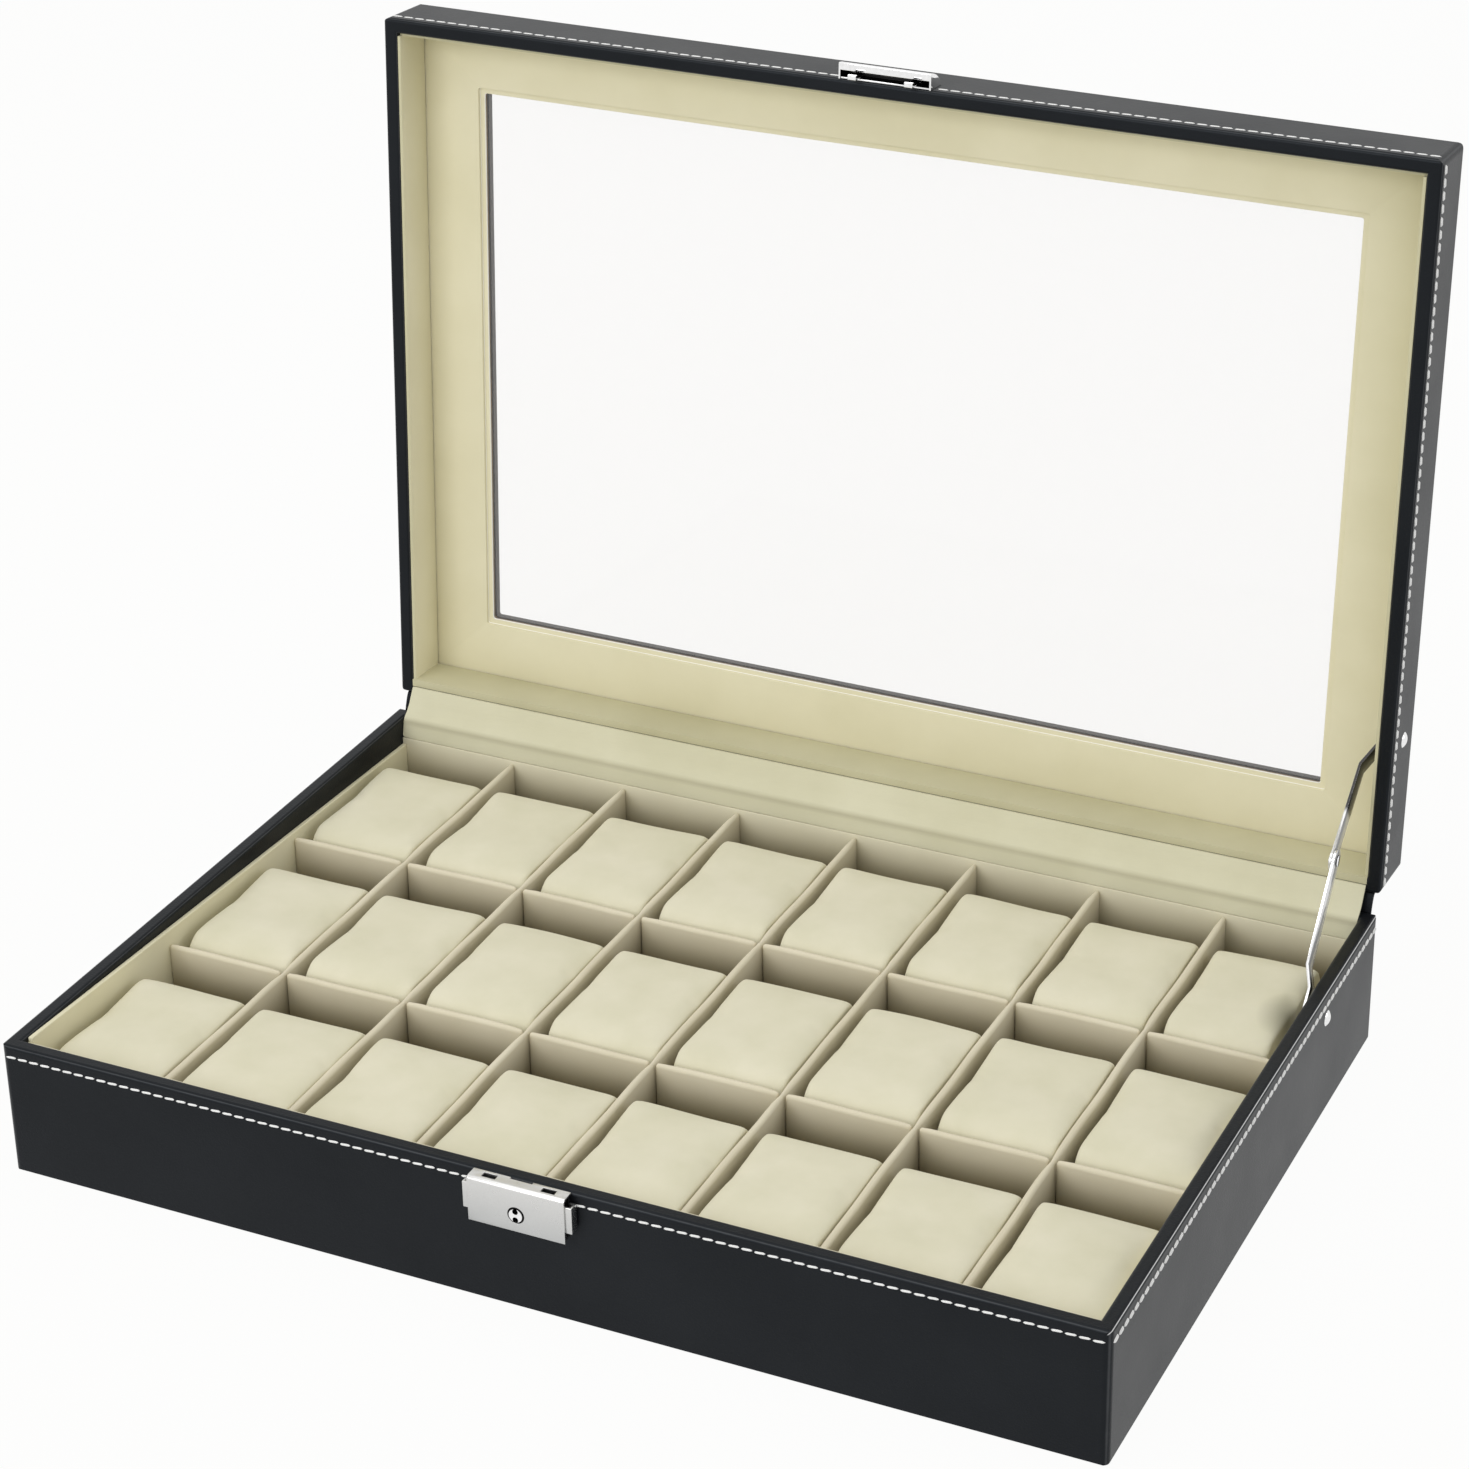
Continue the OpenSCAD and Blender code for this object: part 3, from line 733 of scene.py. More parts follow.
@dataclass(frozen=True)
class GrainedLeather:
    """Coated black leather with a fine pebbled grain and a painted highlight on its arrises.

    turned is the angle by which the piece is swung from the case's own directions. The six fields
    from fold on paint a pale highlight line along the base's right rim: its colour, half width,
    share, height band, and whether it is drawn.
    """

    name: str
    dark: Colour = (0.0050, 0.0056, 0.0068)
    light: Colour = (0.0086, 0.0095, 0.0112)
    gloss: float = 0.36
    specular: float = 0.16
    grain_per_m: float = 1500.0
    grain_mm: float = 0.06
    turned: float = 0.0
    # Colour of the painted highlight on the arrises.
    arris_highlight: Colour = (0.05, 0.052, 0.055)
    # Colour of the painted highlight line along the base's right rim.
    fold: Colour = (0.72, 0.72, 0.72)
    highlight_half_mm: float = 0.3
    highlight_share: float = 0.9
    highlight_low_mm: float = 1.7
    highlight_high_mm: float = 1.2
    with_highlight_line: bool = False

    def painted_highlight_line(self, t: Tree) -> bpy.types.NodeSocket:
        """A painted highlight: the fine pale line along the outer arris of the base's right rim.

        Args:
            t: The material's nodes.

        Returns:
            A value from 0 to 1, with 1 on the line.
        """
        s = SIZES
        parts = t.add("ShaderNodeSeparateXYZ")
        t.links.new(t.place, parts.inputs["Vector"])
        across = t.combine("SUBTRACT", parts.outputs["X"], parts.outputs["Z"])
        off = t.combine("SUBTRACT", across, (s.width / 2 - s.base_height) * MM)
        width = self.highlight_half_mm * MM
        line = t.span(t.combine("ABSOLUTE", off), width * 0.7, width, self.highlight_share, 0.0)
        line_breaks = t.span(t.noise(160, 3, 0.6), 0.3, 0.45, 0.75, 1.0)
        low, high = s.base_height - self.highlight_low_mm, s.base_height - self.highlight_high_mm
        return t.combine("MULTIPLY", t.combine("MULTIPLY", line, line_breaks), t.height_in(low, high))

    def arris_share(self, t: Tree) -> bpy.types.NodeSocket:
        """How far a place lies on a rounded arris, from the surface's own normal.

        Args:
            t: The material's nodes.

        Returns:
            A value from 0 on flat faces to 1 in the middle of an arris.
        """
        turn = t.add("ShaderNodeVectorRotate", rotation_type="X_AXIS")
        turn.inputs["Angle"].default_value = self.turned
        t.links.new(t.add("ShaderNodeTexCoord").outputs["Normal"], turn.inputs["Vector"])
        size = t.add("ShaderNodeVectorMath", operation="ABSOLUTE")
        t.links.new(turn.outputs["Vector"], size.inputs[0])
        parts = t.add("ShaderNodeSeparateXYZ")
        t.links.new(size.outputs["Vector"], parts.inputs["Vector"])
        across = t.combine("MAXIMUM", parts.outputs["X"], parts.outputs["Y"])
        most = t.combine("MAXIMUM", across, parts.outputs["Z"])
        return t.span(most, 0.86, 0.74, 0.0, 1.0)

    def make(self) -> bpy.types.Material:
        """Builds the material.

        Returns:
            The material.
        """
        t = Tree(self.name)
        patch = t.noise(18, 4, 0.6)
        plain = t.ramp(t.span(patch, 0.3, 0.7, 0, 1), self.dark, self.light)
        # The arrises take a lighter colour: a painted highlight.
        arris_at = t.sum(self.arris_share(t), t.span(t.noise(90, 3, 0.6), 0.3, 0.7, -1, 0), 0.35)
        colour = t.over(arris_at, plain, self.arris_highlight)
        # Paints the highlight line along the base's right rim.
        if self.with_highlight_line:
            colour = t.over(self.painted_highlight_line(t), colour, self.fold)
        t.feed(colour, "Base Color")
        pebbles = t.span(t.cells(self.grain_per_m), 0.0, 0.7, 1.0, 0.0)
        crease = t.noise(self.grain_per_m * 0.35, 4, 0.6)
        fine = t.sum(pebbles, crease, 0.9)
        t.feed(t.span(patch, 0.2, 0.8, self.gloss - 0.04, self.gloss + 0.05), "Roughness")
        t.bump(fine, self.grain_mm, 0.55)
        t.set(Specular_IOR_Level=self.specular, Specular_Tint=(0.80, 0.90, 1.0, 1.0))
        return t.material


@dataclass(frozen=True)
class Velvet:
    """Short-pile lining velvet, or the smooth cloth of a cushion.

    The two fields after weave_mm paint shade, darker towards the bottom: the height that shows
    the shade colour and the height from which it is gone, and that colour. The next four paint a
    darker line of shade at one height, and the last four a soft spot of painted shade.
    """

    name: str
    base: Colour
    shade: Colour
    sheen: float = 0.12
    sheen_tint: Colour = (1.0, 0.97, 0.88)
    nap_mm: float = 0.05
    cloud_per_m: float = 22.0
    creases_mm: float = 0.0
    crease_stretch: tuple[float, float, float] = (1.0, 1.0, 1.0)
    weave_mm: float = 0.0
    # Heights and colour of the painted shade, darker towards the bottom.
    painted_shade_heights: tuple[float, float] | None = None
    painted_shade_colour: Colour = (0.26, 0.22, 0.13)
    # A line of painted shade along a crease: its height, half width, share and colour.
    crease_shade_z: float | None = None
    crease_shade_half: float = 1.9
    crease_shade_share: float = 0.55
    crease_shade_colour: Colour = (0.40, 0.37, 0.25)
    # A soft spot of painted shade: its middle, half sizes, share and colour.
    painted_shade_spot_at: tuple[float, float, float] | None = None
    painted_shade_spot_size: tuple[float, float, float] = (13.0, 17.0, 12.0)
    painted_shade_spot_share: float = 0.7
    painted_shade_spot_colour: Colour = (0.11, 0.105, 0.055)

    def make(self) -> bpy.types.Material:
        """Builds the material.

        Returns:
            The material.
        """
        t = Tree(self.name)
        cloud = t.noise(self.cloud_per_m, 4, 0.55)
        fibre = t.noise(2600, 3, 0.7)
        tone = t.sum(t.span(cloud, 0.28, 0.72, 0.0, 0.85), fibre, 0.18)
        colour = t.ramp(tone, self.shade, self.base)
        # Painted shade: darker towards the bottom.
        if self.painted_shade_heights:
            colour = t.over(t.height_in(self.painted_shade_heights[1], self.painted_shade_heights[0]), colour, self.painted_shade_colour)
        # Painted shade: a darker line along the crease.
        if self.crease_shade_z:
            low, high = self.crease_shade_z - self.crease_shade_half, self.crease_shade_z + self.crease_shade_half
            rises = t.height_in(low, self.crease_shade_z)
            falls = t.height_in(high, self.crease_shade_z)
            both = t.combine("MULTIPLY", rises, falls)
            share = t.span(both, 0.0, 1.0, 0.0, self.crease_shade_share)
            colour = t.over(share, colour, self.crease_shade_colour)
        # Painted shade: a soft darker spot.
        if self.painted_shade_spot_at:
            spot = t.near(self.painted_shade_spot_at, self.painted_shade_spot_size)
            share = t.span(spot, 0.0, 1.0, 0.0, self.painted_shade_spot_share)
            colour = t.over(share, colour, self.painted_shade_spot_colour)
        t.feed(colour, "Base Color")
        t.feed(t.span(cloud, 0.2, 0.8, 0.86, 0.97), "Roughness")
        height = fibre
        if self.creases_mm:
            crease = t.noise(9, 4, 0.5, t.stretched(self.crease_stretch))
            height = t.sum(fibre, crease, self.creases_mm / max(self.nap_mm, 0.01))
        if self.weave_mm:
            weave = t.add("ShaderNodeTexWave", wave_type="BANDS", bands_direction="Z")
            weave.inputs["Scale"].default_value = 330
            weave.inputs["Distortion"].default_value = 1.2
            t.links.new(t.place, weave.inputs["Vector"])
            height = t.sum(height, weave.outputs["Fac"], self.weave_mm / self.nap_mm)
        t.bump(height, self.nap_mm, 0.5)
        t.set(
            Specular_IOR_Level=0.12,
            Sheen_Weight=self.sheen,
            Sheen_Roughness=0.5,
            Sheen_Tint=(*self.sheen_tint, 1),
        )
        return t.material


class Sheen(Enum):
    """How finely a metal is finished, as the roughness of its surface."""

    MIRROR = 0.06
    BRIGHT = 0.13
    SATIN = 0.27
    DULL = 0.4


@dataclass(frozen=True)
class PlatedMetal:
    """Nickel or chromium plate, from mirror bright to satin.

    The three fields after brush_mm paint shade, darker towards the bottom: the height that shows
    the shade colour and the height from which it is gone, that colour and its share. The next
    four paint reflections: away from a place, by more than a distance, the plate shows a painted
    dark reflection, and near it a painted bright reflection in the plated colour.
    """

    name: str
    colour: Colour
    finish: Sheen
    brush: tuple[float, float, float] = (1.0, 1.0, 1.0)
    brush_mm: float = 0.002
    # Painted shade, darker towards the bottom: heights, colour and share.
    painted_shade_below: tuple[float, float] | None = None
    painted_shade_below_colour: Colour = (0.47, 0.48, 0.48)
    painted_shade_below_share: float = 0.75
    # Painted reflections: bright within a distance of a place, dark beyond it.
    clear_at: tuple[float, float, float] | None = None
    clear_r: float = 30.0
    bright_reflection_edge: float = 0.08
    smoked: Colour = (0.035, 0.033, 0.033)
    metallic: float = 1.0

    def make(self) -> bpy.types.Material:
        """Builds the material.

        Returns:
            The material.
        """
        t = Tree(self.name)
        line = t.noise(900, 3, 0.6, t.stretched(self.brush))
        smear = t.noise(120, 3, 0.5)
        rough = t.sum(
            t.span(smear, 0.3, 0.7, self.finish.value * 0.8, self.finish.value * 1.15),
            line,
            self.finish.value * 0.25,
        )
        t.feed(rough, "Roughness")
        low = tuple(c * 0.88 for c in self.colour)
        colour = t.ramp(t.span(line, 0.3, 0.7, 0, 1), low, self.colour)
        # Painted shade: darker towards the bottom.
        if self.painted_shade_below:
            down = t.height_in(self.painted_shade_below[1], self.painted_shade_below[0])
            share = t.span(down, 0, 1, 0.0, self.painted_shade_below_share)
            colour = t.over(share, colour, self.painted_shade_below_colour)
        # Painted reflections: the plated colour near the place, dark away from it.
        if self.clear_at:
            inside = t.near(self.clear_at, (self.clear_r,) * 3)
            outside = t.span(inside, 0.0, self.bright_reflection_edge, 1.0, 0.0)
            colour = t.over(outside, colour, self.smoked)
        t.feed(colour, "Base Color")
        t.bump(line, self.brush_mm, 0.6)
        t.set(Metallic=self.metallic)
        return t.material


@dataclass(frozen=True)
class ClearGlass:
    """Window glass with the faint veil of its surface."""

    name: str
    tint: Colour = (0.93, 0.90, 0.89)
    streak: Colour = (0.90, 0.865, 0.855)
    veil: float = 0.10

    def make(self) -> bpy.types.Material:
        """Builds the material.

        Returns:
            The material.
        """
        t = Tree(self.name)
        t.set(Alpha=self.veil, Roughness=0.03, Specular_IOR_Level=0.35)
        t.feed(t.ramp(t.noise(5, 2, 0.4), self.tint, self.streak), "Base Color")
        return t.material


@dataclass(frozen=True)
class PressedBoard:
    """Raw pressed fibre board."""

    name: str
    pale: Colour = (0.50, 0.36, 0.22)
    dark: Colour = (0.33, 0.22, 0.12)

    def make(self) -> bpy.types.Material:
        """Builds the material.

        Returns:
            The material.
        """
        t = Tree(self.name)
        fibre = t.noise(700, 6, 0.7, t.stretched((1.0, 2.5, 1.4)))
        t.feed(t.ramp(t.span(fibre, 0.3, 0.7, 0, 1), self.dark, self.pale), "Base Color")
        t.feed(t.span(fibre, 0.2, 0.8, 0.7, 0.95), "Roughness")
        t.bump(fibre, 0.08, 0.6)
        return t.material


@dataclass(frozen=True)
class SewingThread:
    """Twisted white thread."""

    name: str
    pale: Colour = (0.95, 0.95, 0.94)
    dark: Colour = (0.78, 0.78, 0.76)

    def make(self) -> bpy.types.Material:
        """Builds the material.

        Returns:
            The material.
        """
        t = Tree(self.name)
        twist = t.add("ShaderNodeTexWave", wave_type="BANDS", bands_direction="DIAGONAL")
        twist.inputs["Scale"].default_value = 700
        twist.inputs["Distortion"].default_value = 0.8
        t.links.new(t.place, twist.inputs["Vector"])
        ply = twist.outputs["Fac"]
        t.feed(t.ramp(t.span(ply, 0.0, 0.6, 0, 1), self.dark, self.pale), "Base Color")
        t.feed(t.span(ply, 0, 1, 0.75, 0.55), "Roughness")
        t.bump(ply, 0.08, 0.7)
        return t.material


@dataclass(frozen=True)
class FinishPlaces:
    """Heights and places, in millimetres, of painted shade, painted shadow and painted reflections.
    """

    lining_shade: tuple[float, float] = (27.0, 46.5)
    divider_shade: tuple[float, float] = (27.0, 45.0)
    lock_painted_shade: tuple[float, float] = (37.0, 55.0)
    cloth_crease_shade: float = 54.8
    pillow_shadow: tuple[float, float, float] = (211.5, 79.0, 44.0)
    mat_shade: tuple[float, float, float] = (224.0, 168.0, 330.0)
    mat_shade_size: tuple[float, float, float] = (48.0, 60.0, 200.0)
    arms_bright_reflection: tuple[float, float, float] = (212.0, 115.2, 84.0)
    arms_bright_reflection_r: float = 36.0


PLACES = FinishPlaces()


@dataclass
class Finishes:
    """All the materials of the box, made once."""

    leather: bpy.types.Material = field(init=False)
    lid_leather: bpy.types.Material = field(init=False)
    web: bpy.types.Material = field(init=False)
    lining: bpy.types.Material = field(init=False)
    lid_lining: bpy.types.Material = field(init=False)
    floor_lining: bpy.types.Material = field(init=False)
    divider: bpy.types.Material = field(init=False)
    pillow: bpy.types.Material = field(init=False)
    mat: bpy.types.Material = field(init=False)
    mat_lip: bpy.types.Material = field(init=False)
    hinge_cloth: bpy.types.Material = field(init=False)
    glass: bpy.types.Material = field(init=False)
    board: bpy.types.Material = field(init=False)
    thread: bpy.types.Material = field(init=False)
    chrome: bpy.types.Material = field(init=False)
    arm_face: bpy.types.Material = field(init=False)
    satin: bpy.types.Material = field(init=False)
    steel: bpy.types.Material = field(init=False)
    painted_shade_metal: bpy.types.Material = field(init=False)
    under_cloth: bpy.types.Material = field(init=False)

    def __post_init__(self) -> None:
        """Builds every material."""
        open_turn = math.radians(SIZES.open_angle)
        # The base's leather carries the painted highlight line on its right rim.
        self.leather = GrainedLeather("Black grained leather", with_highlight_line=True).make()
        self.lid_leather = GrainedLeather(
            "Black grained leather of the lid", turned=open_turn
        ).make()
        self.web = GrainedLeather(
            "Black hinge leather", gloss=0.42, specular=0.12, arris_highlight=(0.012, 0.012, 0.013)
        ).make()
        self.lining = Velvet(
            "Cream lining velvet",
            (0.80, 0.755, 0.58),
            (0.72, 0.675, 0.50),
            # Painted shade, darker towards the bottom of the linings.
            painted_shade_heights=PLACES.lining_shade,
        ).make()
        # The lid's linings: a darker copy of the cream velvet, as painted shade.
        self.lid_lining = Velvet(
            "Cream lid lining velvet in painted shade", (0.61, 0.58, 0.39), (0.53, 0.50, 0.32)
        ).make()
        # A darker copy of the cream velvet, as painted shade.
        self.floor_lining = Velvet(
            "Shaded floor velvet", (0.40, 0.36, 0.25), (0.33, 0.29, 0.19)
        ).make()
        self.divider = Velvet(
            "Cream divider velvet",
            (0.77, 0.71, 0.55),
            (0.68, 0.62, 0.46),
            nap_mm=0.06,
            creases_mm=0.12,
            crease_stretch=(4.0, 4.0, 1.0),
            # Painted shade, darker towards the bottom of the dividers.
            painted_shade_heights=PLACES.divider_shade,
        ).make()
        self.pillow = Velvet(
            "Cream pillow velvet",
            (0.78, 0.742, 0.575),
            (0.70, 0.67, 0.49),
            cloud_per_m=45,
            creases_mm=0.35,
            crease_stretch=(1.0, 6.0, 2.0),
            # Painted shadow of the stay on the back-row pillow beside it.
            painted_shade_spot_at=PLACES.pillow_shadow,
        ).make()
        self.mat = Velvet(
            "Cream mat velvet",
            (0.80, 0.755, 0.55),
            (0.73, 0.685, 0.475),
            creases_mm=0.1,
            crease_stretch=(0.4, 3.0, 3.0),
            # Painted shade along the right end of the mat.
            painted_shade_spot_at=PLACES.mat_shade,
            painted_shade_spot_size=PLACES.mat_shade_size,
            painted_shade_spot_colour=(0.47, 0.435, 0.235),
        ).make()
        # The mat's lip: a paler cut edge with a painted highlight.
        self.mat_lip = Velvet(
            "Pale cut edge of the mat, with painted highlight", (0.93, 0.91, 0.84), (0.88, 0.86, 0.78)
        ).make()
        self.hinge_cloth = Velvet(
            "Cream hinge cloth",
            (0.71, 0.685, 0.505),
            (0.63, 0.605, 0.425),
            # Painted shade along the cloth's crease.
            crease_shade_z=PLACES.cloth_crease_shade,
            creases_mm=0.25,
            crease_stretch=(0.3, 8.0, 8.0),
            weave_mm=0.03,
        ).make()
        self.glass = ClearGlass("Clear window glass").make()
        self.board = PressedBoard("Pressed fibre board").make()
        self.thread = SewingThread("White sewing thread").make()
        self.chrome = PlatedMetal("Bright chrome plate", (0.90, 0.90, 0.90), Sheen.MIRROR).make()
        self.arm_face = PlatedMetal(
            "Chrome plate on the broad faces of the arms",
            (0.80, 0.80, 0.80),
            Sheen.BRIGHT,
            # Painted reflections on the broad faces: bright near the knee, dark away from it.
            clear_at=PLACES.arms_bright_reflection,
            clear_r=PLACES.arms_bright_reflection_r,
            # Less metal, so the painted bright reflection shows.
            metallic=0.45,
        ).make()
        self.satin = PlatedMetal(
            "Satin nickel plate",
            (0.72, 0.715, 0.70),
            Sheen.SATIN,
            (14.0, 1.0, 1.0),
            0.004,
            # Painted shade, darker towards the bottom of the lock.
            painted_shade_below=PLACES.lock_painted_shade,
        ).make()
        self.steel = PlatedMetal("Plain steel", (0.16, 0.16, 0.165), Sheen.DULL).make()
        # Painted shade: the plug's ring and notches, inside the catch, the rivets' sides.
        self.painted_shade_metal = PlatedMetal("Dark metal for painted shade", (0.022, 0.022, 0.022), Sheen.DULL).make()
        self.under_cloth = Velvet(
            "Black under cloth", (0.022, 0.022, 0.024), (0.012, 0.012, 0.013), sheen=0.05
        ).make()


# ---------------------------------------------------------------------------
# Stitching
# ---------------------------------------------------------------------------


@dataclass(frozen=True)
class StitchRow:
    """One straight run of stitches on a flat face of the leather."""

    name: str
    start: tuple[float, float, float]
    end: tuple[float, float, float]
    outward: tuple[float, float, float]
    body: str
    bold: bool = False


@dataclass
class Stitching:
    """The white thread near the rims, as rows of separate stitches.

    fine and bold each hold a stitch's length, width and height, and its slant in degrees. The
    body and tip fields are shares of a stitch. The others place the rows, in millimetres.
    """

    pitch: float = 5.0
    fine: tuple[float, float, float, float] = (4.6, 1.0, 0.6, 5.0)
    bold: tuple[float, float, float, float] = (4.3, 1.75, 1.3, 9.0)
    body_share: float = 0.62
    tip_share: float = 0.19
    tip_width: float = 0.42
    tip_height: float = 0.4
    tip_drop: float = 0.28
    base_drop: float = 4.9
    base_side_drop: float = 5.3
    lid_rise: float = 4.3
    lid_side_rise: float = 3.4
    corner_gap: float = 2.0
    lock_half: float = 20.6

    def stitch(self, size: tuple[float, float, float, float]) -> bpy.types.Object:
        """One stitch along X on the plane z = 0, pulled down at its ends.

        Args:
            size: Its length, width and height, in millimetres, and its slant in degrees.

        Returns:
            The stitch.
        """
        deselect()
        bpy.ops.mesh.primitive_cylinder_add(
            vertices=6, radius=0.5, depth=1, rotation=(0, math.pi / 2, 0)
        )
        obj = settle(bpy.context.object)
        for vertex in obj.data.vertices:
            vertex.co.x *= self.body_share
        with editing(obj) as mesh:
            bpy.ops.mesh.select_mode(type="FACE")
            for face in mesh.faces:
                face.select = abs(face.normal.x) > 0.9
            bmesh.update_edit_mesh(obj.data)
            bpy.ops.mesh.extrude_faces_move(
                MESH_OT_extrude_faces_indiv={"mirror": False},
                TRANSFORM_OT_shrink_fatten={"value": self.tip_share},
            )
            for face in mesh.faces:
                if face.select:
                    for vertex in face.verts:
                        vertex.co.y *= self.tip_width
                        vertex.co.z = vertex.co.z * self.tip_height - self.tip_drop
            bmesh.update_edit_mesh(obj.data)
        obj.scale = [c * MM for c in size[:3]]
        obj.rotation_euler.z = math.radians(size[3])
        settle(obj)
        return soften(obj, 70)

    def row(self, row: StitchRow, master: bpy.types.Object) -> bpy.types.Object:
        """Lays a row of stitches.

        Args:
            row: Where the row runs.
            master: The stitch to repeat.

        Returns:
            The row, as one piece in the shut case's frame.
        """
        start, end = Vector(row.start) * MM, Vector(row.end) * MM
        along = (end - start).normalized()
        count = max(1, round((end - start).length / (self.pitch * MM)))
        step = (end - start).length / count
        obj = copied(master, row.name)
        array = obj.modifiers.new("Row", "ARRAY")
        array.count = count
        array.use_relative_offset = False
        array.use_constant_offset = True
        array.constant_offset_displace = (step, 0, 0)
        apply_all(obj)
        out = Vector(row.outward).normalized()
        side = out.cross(along)
        turn = Matrix((along, side, out)).transposed().to_4x4()
        obj.data.transform(Matrix.Translation(start + along * step / 2) @ turn)
        obj.data.update()
        return obj

    def build(self, finishes: Finishes) -> None:
        """Makes every row and hands it to its body.

        Args:
            finishes: The box's materials.
        """
        s = SIZES
        half, front, back = s.width / 2, s.front, s.back
        lock, gap = self.lock_half, self.corner_gap
        near, far = front + gap, back - gap
        lid_z, lid_side_z = s.lid_rim + self.lid_rise, s.lid_rim + self.lid_side_rise
        rims = {
            "thread": ("base", s.base_height - self.base_drop, s.base_height - self.base_side_drop),
            "thread_lid": ("lid", lid_z, lid_side_z),
        }
        rows = []
        for name, (body, z, side_z) in rims.items():
            runs = {
                "front_left": ((-half + gap, front, z), (-lock, front, z), (0, -1, 0), False),
                "front_right": ((lock, front, z), (half - gap, front, z), (0, -1, 0), False),
                "right": ((half, near, side_z), (half, far, side_z), (1, 0, 0), True),
                "left": ((-half, far, side_z), (-half, near, side_z), (-1, 0, 0), True),
            }
            for run, (start, end, outward, bold) in runs.items():
                rows.append(StitchRow(f"{name}_{run}", start, end, outward, body, bold))
        masters = {False: self.stitch(self.fine), True: self.stitch(self.bold)}
        for row in rows:
            obj = self.row(row, masters[row.bold])
            if row.body == "lid":
                obj.data.transform(s.lid_matrix())
            dress(obj, finishes.thread)
            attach(obj, row.body)
            LOG.info("%s: %d faces", obj.name, len(obj.data.polygons))
        for master in masters.values():
            bpy.data.objects.remove(master)


# ---------------------------------------------------------------------------
# Pillows
# ---------------------------------------------------------------------------


